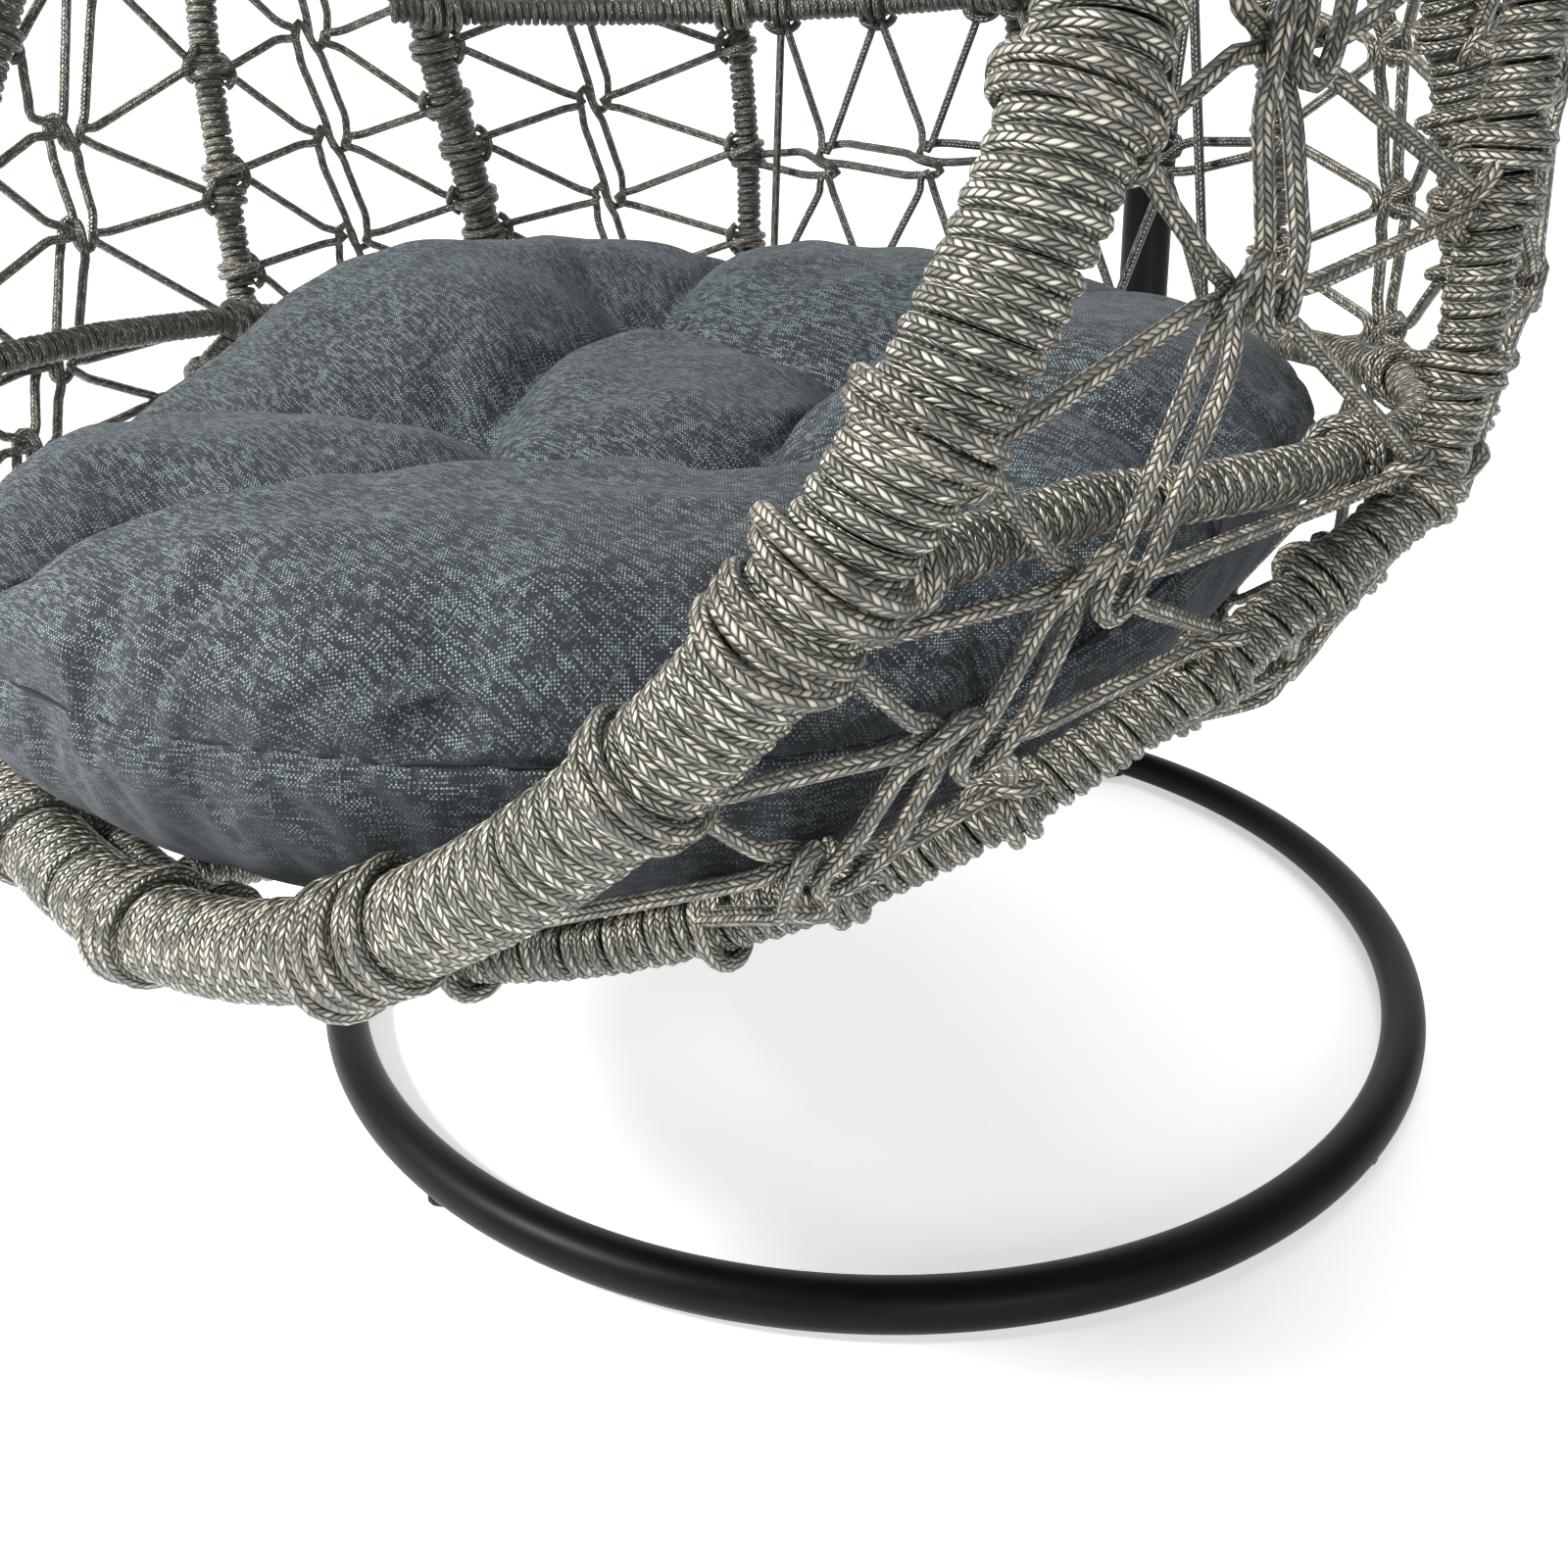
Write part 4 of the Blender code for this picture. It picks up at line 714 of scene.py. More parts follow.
def net(name, mem_a, lev_a, mem_b, lev_b, bulge, sides=8, step=0.006, rope_r=ROPE_R, sign=0, replaces=None, cross=100, ends=(None, None), mix=0.5, mat=NET, hsides=8, hseg=20, arcs=False, ties=(), shift=None, knot_a=None):
    """One bay of netting between two members: V strands from hitches on both
    sides meet at knots, and a chain of long links joins the knots."""
    bag = Bag()
    sa = list(lev_a) if arcs else [mem_a.where(z, sign) for z in lev_a]
    sb = list(lev_b) if arcs else [mem_b.where(z, sign) for z in lev_b]
    pa = [mem_a.at(s)[0] for s in sa]
    pb = [mem_b.at(s)[0] for s in sb]
    n = len(lev_a) - 1
    K = []
    if knot_a is not None:
        qa = [mem_a.at(mem_a.where(z, sign))[0] for z in knot_a]
    else:
        qa = pa
    for i in range(n):
        m = (qa[i] + qa[i + 1]) * (1 - mix) / 2 + (pb[i] + pb[i + 1]) * mix / 2
        out = unit(m - CENTRE)
        bl = bulge[i] if isinstance(bulge, (list, tuple)) else bulge
        K.append(m + out * bl)
    K = np.array(K)
    ups = unit(np.gradient(K, axis=0))
    for i, (along, rise) in enumerate(shift or ()):
        e = unit((pb[i] + pb[i + 1]) - (qa[i] + qa[i + 1]))
        K[i] = K[i] + e * along + unit(ups[i] - e * (ups[i] @ e)) * rise
    ups = unit(np.gradient(K, axis=0))
    frames_ = []
    for i in range(n):
        e = unit((pb[i] + pb[i + 1]) - (pa[i] + pa[i + 1]))
        up = unit(ups[i] - e * (ups[i] @ e))
        out = np.cross(e, up)
        if out @ (K[i] - CENTRE) < 0:
            out = -out
        frames_.append((e, up, out))
    r = rope_r
    for i in range(n):
        e, up, out = frames_[i]
        for side, mem, ss, sg in ((0, mem_a, sa, 1.0), (1, mem_b, sb, -1.0)):
            feet = []
            for j, q in ((i + 1, 1.0), (i, -1.0)):
                c, t, _, _ = mem.at(ss[j])
                tup = t if t @ up > 0 else -t
                d = K[i] - c
                d = unit(d - t * (d @ t))
                # each strand leaves the hitch on its own side of the crossing
                feet.append((c + d * (mem.wrap - 0.2 * r) - tup * q * r * 1.0, c + d * (mem.wrap + 2.2 * r) - tup * q * r * 1.4))
            A = lambda x, u_, o: K[i] + e * x * sg + up * u_ + out * o
            # the bend is out of sight behind the link's leg
            k0 = -3.6 * r if side == 0 else -2.2 * r
            pts = [feet[0][0], feet[0][1], A(k0 - 4.6 * r, 2.1 * r, -0.1 * r), A(k0 - 2.2 * r, 1.5 * r, -0.8 * r), A(k0 - 0.3 * r, 0.9 * r, -1.25 * r), A(k0 + 0.5 * r, 0, -1.35 * r),
                   A(k0 - 0.3 * r, -0.9 * r, -1.25 * r), A(k0 - 2.2 * r, -1.5 * r, -0.8 * r), A(k0 - 4.6 * r, -2.1 * r, -0.1 * r), feet[1][1], feet[1][0]]
            strand(bag, pts, r, sides, step, out)
    for i in range(n - 1):
        e0, up0, out0 = frames_[i]
        e1, up1, out1 = frames_[i + 1]
        link(bag, K[i + 1], K[i], unit(up0 + up1), unit(e0 + e1), unit(out0 + out1), r, sides, step)
    # both ends of the spine are tied off round a member
    for end, idx, dirn in ((ends[0], 0, -1.0), (ends[1], n - 1, 1.0)):
        if end is None:
            continue
        mem, at = end
        e, up, out = frames_[idx]
        c, t, _, _ = mem.at(at)
        d = K[idx] - c
        d = unit(d - t * (d @ t))
        w_ = 2.75 * r if dirn < 0 else 2.15 * r
        x0 = -1.2 * r if dirn < 0 else 1.25 * r
        B = lambda x, u_, o: K[idx] + e * (x + x0) + up * u_ + out * o
        side_of = 1.0 if t @ e > 0 else -1.0
        foot = [c + d * (mem.wrap + 0.3 * r) + t * side_of * q * 1.2 * r for q in (-1, 1)]
        if dirn < 0:
            pts = [foot[0], B(-w_, -7.0 * r, 0.4 * r), B(-w_, -3.2 * r, 0.8 * r), B(-2.5 * r, 1.0 * r, 1.05 * r), B(-1.75 * r, 2.5 * r, 0.7 * r), B(-0.85 * r, 2.2 * r, 0),
                   B(-0.35 * r, 0.8 * r, -0.75 * r), B(0.25 * r, -1.2 * r, -1.15 * r), B(1.35 * r, -3.2 * r, -1.15 * r), B(2.35 * r, -5.2 * r, -0.75 * r), B(w_, -7.8 * r, -0.2 * r), foot[1]]
        else:
            pts = [foot[0], B(-w_, 6.0 * r, 0.7 * r), B(-w_, 1.6 * r, 1.05 * r), B(-0.62 * w_, -2.2 * r, 1.15 * r), B(0, -2.9 * r, 1.2 * r), B(0.62 * w_, -2.2 * r, 1.15 * r),
                   B(w_, 1.6 * r, 1.05 * r), B(w_, 6.0 * r, 0.7 * r), foot[1]]
        strand(bag, pts, r, sides, step, out)
        hitch(bag, mem, at, d, 100, r, sides=hsides, seg=hseg)
    for mem_1, at_1, mem_2, at_2 in ties:
        c1, c2 = mem_1.at(at_1)[0], mem_2.at(at_2)[0]
        d = unit(c2 - c1)
        strand(bag, [c1 + d * mem_1.wrap * 0.8, c1 + d * 0.035, c2 - d * 0.035, c2 - d * mem_2.wrap * 0.8], r, sides, step, c1 - CENTRE)
    for mem, ss in ((mem_a, sa), (mem_b, sb)):
        for j, s in enumerate(ss):
            k = K[min(max(j, 0), n - 1)] if j in (0, n) else (K[j - 1] + K[min(j, n - 1)]) / 2
            c, t, _, _ = mem.at(s)
            d = unit((k - c) - t * ((k - c) @ t))
            turn = cross if isinstance(cross, (int, float)) else cross[0 if mem is mem_a else 1]
            hitch(bag, mem, s, d, turn, r, sides=hsides, seg=hseg)
            collar(bag, mem, s, d, r, sides=hsides, half=r * 3.7)
    ob = bag.build(name, mat)
    if replaces:
        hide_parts(*([replaces] if isinstance(replaces, str) else replaces))
    return ob, K


for tag, sg in (("right", 1), ("left", -1)):
    net("front_net_" + tag, RIM, [0.382, 0.468, 0.527, 0.592, 0.685, 0.775, 0.88, 0.98, 1.08, 1.18, 1.27],
        SIDE, [0.386, 0.420, 0.470, 0.535, 0.650, 0.760, 0.87, 0.98, 1.09, 1.19, 1.28], [0.018, 0.016, 0.010, 0.006, 0.004] + [0.010] * 5, sides=10, step=0.0044, sign=sg,
        knot_a=[0.428, 0.468, 0.527, 0.592, 0.685, 0.775, 0.88, 0.98, 1.08, 1.18, 1.27],
        shift=[(0.021, 0.009), (0.006, 0.007), (-0.013, -0.005), (-0.013, 0.006), (-0.029, -0.018), (-0.012, 0.0)],
        replaces=("net_front_%s_lower" % tag, "net_front_%s_upper" % tag), cross=(105 * sg, -100 * sg), hsides=10, hseg=26,
        ends=((SIDE, SIDE.where(0.366, sg)), (SIDE, SIDE.where(1.365, sg))))
    net("side_net_" + tag, SIDE, [0.42, 0.50, 0.585, 0.67, 0.755, 0.84, 0.93, 1.02, 1.11, 1.20, 1.28],
        BIG[tag], [0.40, 0.48, 0.56, 0.645, 0.73, 0.815, 0.91, 1.00, 1.10, 1.19, 1.27], [0.022] * 5 + [0.010] * 5, sides=8, step=0.0065, sign=sg,
        replaces=("net_side_%s_lower" % tag, "net_side_%s_upper" % tag), cross=90, ends=((BIG[tag], BIG[tag].where(0.325)), (BIG[tag], BIG[tag].where(1.355))))
    net("rear_net_" + tag, BIG[tag], [0.36, 0.445, 0.53, 0.61, 0.69, 0.775, 0.86, 0.95, 1.04, 1.13, 1.22],
        RIB[tag], [0.36, 0.445, 0.53, 0.60, 0.685, 0.775, 0.86, 0.95, 1.04, 1.13, 1.22], [0.022] * 5 + [0.012] * 5, sides=8, step=0.0065,
        replaces=("net_rear_%s_lower" % tag, "net_rear_%s_upper" % tag), cross=90, ends=((RIB[tag], RIB[tag].where(0.315)), (RIB[tag], RIB[tag].where(1.33))))
    net("back_net_high_" + tag, RIB[tag], [0.83, 0.92, 1.01, 1.10, 1.19], RIB["middle"], [0.83, 0.92, 1.01, 1.10, 1.19], 0.012, sides=7, step=0.007,
        replaces="net_back_%s" % tag, cross=90, ends=((UPPER, UPPER.nearest(plan("up", 15.5 * sg) + OFF)), (RIB["middle"], RIB["middle"].where(1.30))), mat=NET_SHADED_BACK)
    net("back_net_low_" + tag, RIB[tag], [0.34, 0.40, 0.46, 0.52], RIB["middle"], [0.34, 0.40, 0.46, 0.52], 0.014, sides=7, step=0.007, cross=90,
        ends=((RIB["middle"], RIB["middle"].where(0.30)), (SEAT, SEAT.nearest(plan("seat", 15.5 * sg) + OFF))), mat=NET_SHADED_BACK)
    bay = lambda ring, share: {"seat": SEAT, "up": UPPER}[ring].nearest(plan(ring, sg * RIB_ANGLE * (1 - share)) + OFF)
    seat_at, up_at = [bay("seat", f) for f in (0.13, 0.51, 0.90)], [bay("up", f) for f in (0.175, 0.53, 0.94)]
    net("back_net_mid_" + tag, SEAT, seat_at, UPPER, up_at, 0.010, sides=8, step=0.006, arcs=True, cross=90,
        ends=((RIB[tag], RIB[tag].where(0.675)), (RIB["middle"], RIB["middle"].where(0.675))), ties=((SEAT, seat_at[0], UPPER, up_at[0]),), mat=NET_SHADED_BACK)

# lashings that hold the side hoop and the seat ring to the rim
bag = Bag()
for sg in (-1, 1):
    for t, cross in ((0.15, 60), (0.52, 60)):
        p = rim_point(t * sg) + OFF
        s_at = RIM.nearest(p)
        c = SIDE.at(SIDE.nearest(p))[0]
        d = unit(c - p)
        hitch(bag, RIM, s_at, d, cross * sg, 0.0044, sides=9, seg=26, d=0.0052)
        hitch(bag, RIM, s_at - 0.0125, d, -cross * sg, 0.0044, sides=9, seg=26, d=0.0046)
        hitch(bag, SIDE, SIDE.nearest(p), -d, 90, 0.0040, sides=8, seg=22)
    p = rim_point(1.075 * sg) + OFF
    s_at = RIM.nearest(p)
    d = unit(plan("seat", 114 * sg) + OFF - p)
    hitch(bag, RIM, s_at + 0.0165, d, 120 * sg, 0.0044, sides=9, seg=26)
    hitch(bag, RIM, s_at - 0.0165, d, -120 * sg, 0.0044, sides=9, seg=26)
    q = SEAT.length - 0.012 if sg > 0 else 0.012
    hitch(bag, SEAT, q, V3(0, 0, 1), 90, 0.0040, sides=8, seg=22)
    for deg in (93.5, 61.0, RIB_ANGLE, 0.0):
        if deg == 0.0 and sg < 0:
            continue
        at = SEAT.nearest(plan("seat", deg * sg) + OFF)
        out_d = unit(plan("seat", deg * sg, 0.1) - plan("seat", deg * sg))
        for shift in (-0.009, 0.009):
            hitch(bag, SEAT, at + shift, out_d, 150, 0.0038, sides=8, seg=20)
        if deg < 66:
            at = UPPER.nearest(plan("up", deg * sg) + OFF)
            for shift in (-0.009, 0.009):
                hitch(bag, UPPER, at + shift, out_d, 150, 0.0038, sides=8, seg=20)
bag.build("lashings", NET)

# ----------------------------------------------------------------- cushion --
CUSH_A, CUSH_FRONT, CUSH_BACK = 0.432, 0.416, 0.380
FRONT_ROWS = [(0.0, 0.300), (0.20, 0.302), (0.50, 0.307), (0.74, 0.325), (0.90, 0.350), (0.975, 0.380), (1.0, 0.438), (0.978, 0.466), (0.91, 0.483), (0.76, 0.493), (0.50, 0.498), (0.20, 0.502), (0.0, 0.505)]
BACK_ROWS = [(0.0, 0.308), (0.20, 0.312), (0.50, 0.326), (0.74, 0.365), (0.90, 0.425), (0.975, 0.478), (1.0, 0.522), (0.97, 0.558), (0.88, 0.582), (0.74, 0.590), (0.50, 0.568), (0.20, 0.522), (0.0, 0.505)]
SEAM_ROW = 6


def fine_rows(rows):
    p = np.array(rows)
    line = smooth_line([(a, 0, b) for a, b in p], 400)[:, [0, 2]]
    return line


def resample(line, n):
    s = np.concatenate([[0], np.cumsum(np.linalg.norm(np.diff(line * [0.42, 1.0], axis=0), axis=1))])
    w = np.linspace(0, s[-1], n)
    return np.stack([np.interp(w, s, line[:, 0]), np.interp(w, s, line[:, 1])], 1), s[-1]


NP = 120
sections = {}
for key, rows in (("front", FRONT_ROWS), ("back", BACK_ROWS)):
    top, lt = resample(np.array(smooth_line([(a, 0, b) for a, b in rows[SEAM_ROW:][::-1]], 200))[:, [0, 2]], NP)
    bot, lb = resample(np.array(smooth_line([(a, 0, b) for a, b in rows[: SEAM_ROW + 1]], 200))[:, [0, 2]], NP)
    sections[key] = (top, lt, bot, lb)


def cushion_point(theta, rho, upper):
    """Point of the plain cushion: rho 0 at its middle, 1 at the seam."""
    c, s = np.cos(theta), np.sin(theta)
    w = np.clip((s + 0.6) / 0.8, 0, 1)
    w = w * w * (3 - 2 * w)
    q = 0 if upper else 2
    x = rho * (NP - 1)
    grid = np.arange(NP)
    f = (1 - w) * np.interp(x, grid, sections["front"][q][:, 0]) + w * np.interp(x, grid, sections["back"][q][:, 0])
    z = (1 - w) * np.interp(x, grid, sections["front"][q][:, 1]) + w * np.interp(x, grid, sections["back"][q][:, 1])
    p = 1.0 + (2.0 / 2.3 - 1.0) * np.sqrt(np.maximum(s, 0))
    px = CUSH_A * f * np.sign(c) * np.abs(c) ** p
    py = np.where(s > 0, CUSH_BACK, CUSH_FRONT) * f * np.sign(s) * np.abs(s) ** p
    arc = (1 - w) * sections["front"][q + 1] + w * sections["back"][q + 1]
    if upper:
        # it sags a little more on the right
        z = z - 0.040 * rho * np.clip(0.25 + c * 0.9, 0, 1) * w * np.clip((1 - rho) / 0.12, 0, 1)
    return np.stack([px, py, z], -1), arc


# where the top is drawn down, and the creases that run between those places
TUFTS = {"a": (0.035, -0.105), "b": (-0.115, -0.070), "c": (0.130, -0.040), "d": (0.092, 0.140), "e": (-0.150, 0.145), "f": (-0.052, -0.318)}
CREASES = [("a", "b"), ("a", "c"), ("c", "d"), ("d", "e"), ("e", "b"), ("a", "f")]
EDGE_CREASES = [("f", (-0.035, -0.43)), ("c", (0.44, -0.015)), ("d", (0.26, 0.32)), ("e", (-0.20, 0.37)), ("b", (-0.36, -0.26))]


def seg_dist(p, a, b):
    a, b = np.asarray(a), np.asarray(b)
    d = b - a
    t = np.clip(((p - a) @ d) / (d @ d), 0, 1)
    return np.linalg.norm(p - (a + t[..., None] * d), axis=-1), t


def pillows(xy):
    """How far below a full lobe each place of the top lies, in metres."""
    best = np.full(len(xy), 1.0)
    for a, b in CREASES:
        d, _ = seg_dist(xy, TUFTS[a], TUFTS[b])
        best = np.minimum(best, d)
    for a, b in EDGE_CREASES:
        d, t = seg_dist(xy, TUFTS[a], b)
        best = np.minimum(best, d + 0.035 * t)
    R = 0.105
    x = np.clip(best / R, 0, 1)
    valley = 0.052 * (1 - np.sqrt(np.clip(1 - (1 - x) ** 2, 0, 1)) ** 0.9)
    pit = np.zeros(len(xy))
    for p in TUFTS.values():
        d = np.linalg.norm(xy - np.asarray(p), axis=1)
        pit = np.maximum(pit, 0.022 * np.exp(-(d / 0.022) ** 2) + 0.010 * np.exp(-(d / 0.05) ** 2))
    return valley + pit


def make_cushion():
    N = 108
    g = np.linspace(-1, 1, N)
    U, W = np.meshgrid(g, g, indexing="ij")
    X = U * np.sqrt(1 - W**2 / 2)
    Y = W * np.sqrt(1 - U**2 / 2)
    rho = np.clip(np.sqrt(X**2 + Y**2), 0, 1)
    th = np.arctan2(Y, X)
    edge = (np.abs(U) > 1 - 1e-9) | (np.abs(W) > 1 - 1e-9)
    rho[edge] = 1.0
    verts, cloth = [], []
    for upper in (True, False):
        p, arc = cushion_point(th.reshape(-1), rho.reshape(-1), upper)
        if upper:
            fade = np.clip((1 - rho.reshape(-1)) / 0.22, 0, 1)
            fade = fade * fade * (3 - 2 * fade)
            low = pillows(p[:, :2]) * fade
            p[:, 2] += 0.010 * fade - low
        uv = np.stack([np.cos(th.reshape(-1)), np.sin(th.reshape(-1))], 1) * (rho.reshape(-1) * arc)[:, None]
        if not upper:
            uv = np.stack([th.reshape(-1) * 0.42, (1 - rho.reshape(-1)) * arc], 1)
        verts.append(p)
        cloth.append(uv)
    n = N * N
    idx = np.arange(n).reshape(N, N)
    lower = idx + n
    lower = np.where(edge, idx, lower)
    quads, uvs = [], []
    for grid, flip, cu in ((idx, False, cloth[0]), (lower, True, cloth[1])):
        a, b, c, d = grid[:-1, :-1], grid[1:, :-1], grid[1:, 1:], grid[:-1, 1:]
        q = np.stack([a, b, c, d], -1).reshape(-1, 4)
        own = np.stack([idx[:-1, :-1], idx[1:, :-1], idx[1:, 1:], idx[:-1, 1:]], -1).reshape(-1, 4)
        t = cu[own]
        if flip:
            # keep the wrap of the side panel's map from crossing a face
            span = t[:, :, 0].max(1) - t[:, :, 0].min(1) > 1.3
            fix = t[span]
            fix[:, :, 0] = np.where(fix[:, :, 0] < 0, fix[:, :, 0] + math.tau * 0.42, fix[:, :, 0])
            t[span] = fix
            q, t = q[:, ::-1], t[:, ::-1]
        quads.append(q)
        uvs.append(t)
    v = np.concatenate(verts)
    q = np.concatenate(quads)
    t = np.concatenate(uvs).reshape(-1, 2)
    used = np.unique(q)
    remap = np.full(len(v), -1)
    remap[used] = np.arange(len(used))
    v = v[used]
    q = remap[q]
    me = bpy.data.meshes.new("cushion_cover")
    me.vertices.add(len(v))
    me.vertices.foreach_set("co", (v + OFF).astype(np.float32).reshape(-1))
    me.loops.add(len(q) * 4)
    me.loops.foreach_set("vertex_index", q.reshape(-1).astype(np.int32))
    me.polygons.add(len(q))
    me.polygons.foreach_set("loop_start", (np.arange(len(q)) * 4).astype(np.int32))
    me.update(calc_edges=True)
    me.polygons.foreach_set("use_smooth", np.full(len(q), True))
    me.uv_layers.new(name="cloth").data.foreach_set("uv", t.astype(np.float32).reshape(-1))
    me.validate()
    ob = bpy.data.objects.new("cushion_cover", me)
    bpy.context.scene.collection.objects.link(ob)
    top_flag = np.concatenate([np.ones(n), np.zeros(n)])[used]
    rr = np.concatenate([rho.reshape(-1), rho.reshape(-1)])[used]
    tt = np.concatenate([th.reshape(-1), th.reshape(-1)])[used]
    return ob, v, top_flag, rr, tt


def simulate(ob, v, top_flag, rr, tt):
    """Blows the cover up between its tufts, held at tufts, seam and base."""
    hold = ob.vertex_groups.new(name="hold")
    xy = v[:, :2]
    w = np.zeros(len(v))
    for p in TUFTS.values():
        d = np.linalg.norm(xy - np.asarray(p), axis=1)
        w = np.where((d < 0.016) & (top_flag > 0.5), 1.0, w)
    w = np.where((top_flag < 0.5) & (rr < 0.86), 1.0, w)
    w = np.where(rr > 0.9999, 0.35, w)
    for level in (0.35, 1.0):
        ids = np.nonzero(np.isclose(w, level))[0]
        hold.add([int(i) for i in ids], level, "REPLACE")
    before = np.array([x.co for x in ob.data.vertices])
    mod = ob.modifiers.new("cloth", "CLOTH")
    st = mod.settings
    st.quality = 5
    st.mass = 0.25
    st.tension_stiffness = 18
    st.compression_stiffness = 18
    st.shear_stiffness = 6
    st.bending_stiffness = 0.35
    st.use_pressure = True
    st.uniform_pressure_force = 3.2
    st.vertex_group_mass = "hold"
    st.shrink_min = -0.045
    st.effector_weights.gravity = 0
    mod.collision_settings.use_collision = False
    mod.collision_settings.use_self_collision = False
    sc = bpy.context.scene
    sc.frame_start, sc.frame_end = 1, 20
    mod.point_cache.frame_start, mod.point_cache.frame_end = 1, 20
    for f in range(1, 17):
        sc.frame_set(f)
    dg = bpy.context.evaluated_depsgraph_get()
    after = np.array([x.co for x in ob.evaluated_get(dg).data.vertices])
    ob.modifiers.remove(mod)
    sc.frame_set(1)
    move = after - before
    size = np.linalg.norm(move, axis=1, keepdims=True)
    move = move * np.minimum(1, 0.014 / np.maximum(size, 1e-9))
    ob.data.vertices.foreach_set("co", (before + move).astype(np.float32).reshape(-1))
    ob.data.update()


def pleats(ob, v, top_flag, rr, tt):
    """Small gathers that run in from the seam, and the nip at the seam."""
    co = np.empty(len(ob.data.vertices) * 3, np.float32)
    ob.data.vertices.foreach_get("co", co)
    co = co.reshape(-1, 3).astype(float)
    nor = np.empty(len(ob.data.vertices) * 3, np.float32)
    ob.data.vertices.foreach_get("normal", nor)
    nor = nor.reshape(-1, 3).astype(float)
    up = top_flag > 0.5
    rngp = np.random.default_rng(9)
    push = np.zeros(len(co))
    dist = (1 - rr) * 0.5
    for i in range(46):
        a = -math.pi + math.tau * (i + rngp.uniform(-0.35, 0.35)) / 46
        depth = rngp.uniform(0.002, 0.008)
        reach = rngp.uniform(0.03, 0.095)
        wide = rngp.uniform(0.020, 0.045)
        lean = rngp.uniform(-0.6, 0.6)
        d = np.angle(np.exp(1j * (tt - a - lean * dist)))
        fade = np.exp(-((dist - 0.012) / reach) ** 2) * np.clip(dist / 0.010, 0, 1)
        side = up if rngp.uniform() < 0.62 else ~up
        push = push - depth * np.exp(-(d / wide) ** 2) * fade * side
    push = push - 0.0045 * np.exp(-(dist / 0.0045) ** 2)
    push = push + 0.0016 * np.sin(co[:, 0] * 61 + 2.1 * np.sin(co[:, 1] * 47)) * np.clip(dist / 0.05, 0, 1) * up
    co = co + nor * push[:, None]
    ob.data.vertices.foreach_set("co", co.astype(np.float32).reshape(-1))
    ob.data.update()


cushion, cv, ctop, crho, cth = make_cushion()
simulate(cushion, cv, ctop, crho, cth)
pleats(cushion, cv, ctop, crho, cth)
seam_ids = np.nonzero(crho > 0.9999)[0]
seam_ids = seam_ids[np.argsort(cth[seam_ids])]
seam = np.array([cushion.data.vertices[int(i)].co for i in seam_ids])
sub = cushion.modifiers.new("smooth", "SUBSURF")
sub.levels = sub.render_levels = 1
dg = bpy.context.evaluated_depsgraph_get()
done = bpy.data.meshes.new_from_object(cushion.evaluated_get(dg), depsgraph=dg)
cushion.modifiers.clear()
cushion.data = done
done.materials.clear()
done.materials.append(CLOTH)
cushion.vertex_groups.clear()
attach(cushion, "basket")
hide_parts("seat_cushion")
bag = Bag()
line = even(np.vstack([seam, seam[:1]]), 700, closed=True)
_, nn = carried(line, closed=True)
bag.sweep(line, nn, 0.0011, 6, closed=True)
thread = bag.build("cushion_seam", THREAD)

# ------------------------------------------------------ smooth metal work --
def tube_object(name, path, radius, mat, body, sides=32, closed=False, replaces=None, caps=True):
    bag = Bag()
    path = np.asarray(path, float)
    _, nor = carried(path, closed=closed)
    bag.sweep(path, nor, radius, sides, closed=closed, caps=caps)
    ob = bag.build(name, mat, body)
    if caps and not closed:
        ob.data.set_sharp_from_angle(angle=math.radians(50))
    if replaces:
        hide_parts(*([replaces] if isinstance(replaces, str) else replaces))
    return ob


def lathe(name, profile, at, axis, mat, body, sides=40, replaces=None):
    """Turned piece; profile is (radius, height) pairs along the axis."""
    verts, faces = [], []
    n = len(profile)
    for r, h in profile:
        for k in range(sides):
            a = math.tau * k / sides
            verts.append((max(r, 1e-5) * math.cos(a), max(r, 1e-5) * math.sin(a), h))
    for i in range(n - 1):
        for k in range(sides):
            l = (k + 1) % sides
            faces.append((i * sides + k, i * sides + l, (i + 1) * sides + l, (i + 1) * sides + k))
    faces.append(tuple(range(sides))[::-1])
    faces.append(tuple((n - 1) * sides + k for k in range(sides)))
    rot = {"Z": Matrix.Identity(3), "X": Matrix(((0, 0, 1), (1, 0, 0), (0, 1, 0))), "Y": Matrix(((0, 1, 0), (0, 0, 1), (1, 0, 0)))}.get(axis, axis)
    me = bpy.data.meshes.new(name)
    me.from_pydata([tuple(rot @ Vector(v) + Vector(at)) for v in verts], [], faces)
    me.shade_smooth()
    me.set_sharp_from_angle(angle=math.radians(32))
    ob = bpy.data.objects.new(name, me)
    bpy.context.scene.collection.objects.link(ob)
    me.materials.append(mat)
    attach(ob, body)
    if replaces:
        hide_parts(*([replaces] if isinstance(replaces, str) else replaces))
    return ob


ring = [V3(RING_R * math.cos(math.tau * i / 220), RING_Y + RING_R * math.sin(math.tau * i / 220), RING_Z) + OFF for i in range(220)]
tube_object("floor_ring", ring, RING_TUBE, BLACK, "stand", sides=36, closed=True, replaces="base_ring")
P0 = V3(0, POST_Y, 0) + OFF
tube_object("post_low_tube", [P0 + V3(0, 0, z) for z in np.linspace(RING_Z + RING_TUBE + 0.001, JOINT_Z - 0.0006, 8)], POST_R, BLACK, "stand", sides=40, replaces="post_lower")
arm = smooth_line([(0, POST_Y, ARM_BEND_Z), (0, POST_Y - 0.008, 1.60), (0, POST_Y - 0.050, 1.73), (0, POST_Y - 0.140, 1.845), (0, POST_Y - 0.270, 1.912), (0, POST_Y - 0.420, ARM_Z + 0.006), (0, POST_Y - 0.560, ARM_Z + 0.004), (0, -0.040, ARM_Z)], 90) + OFF
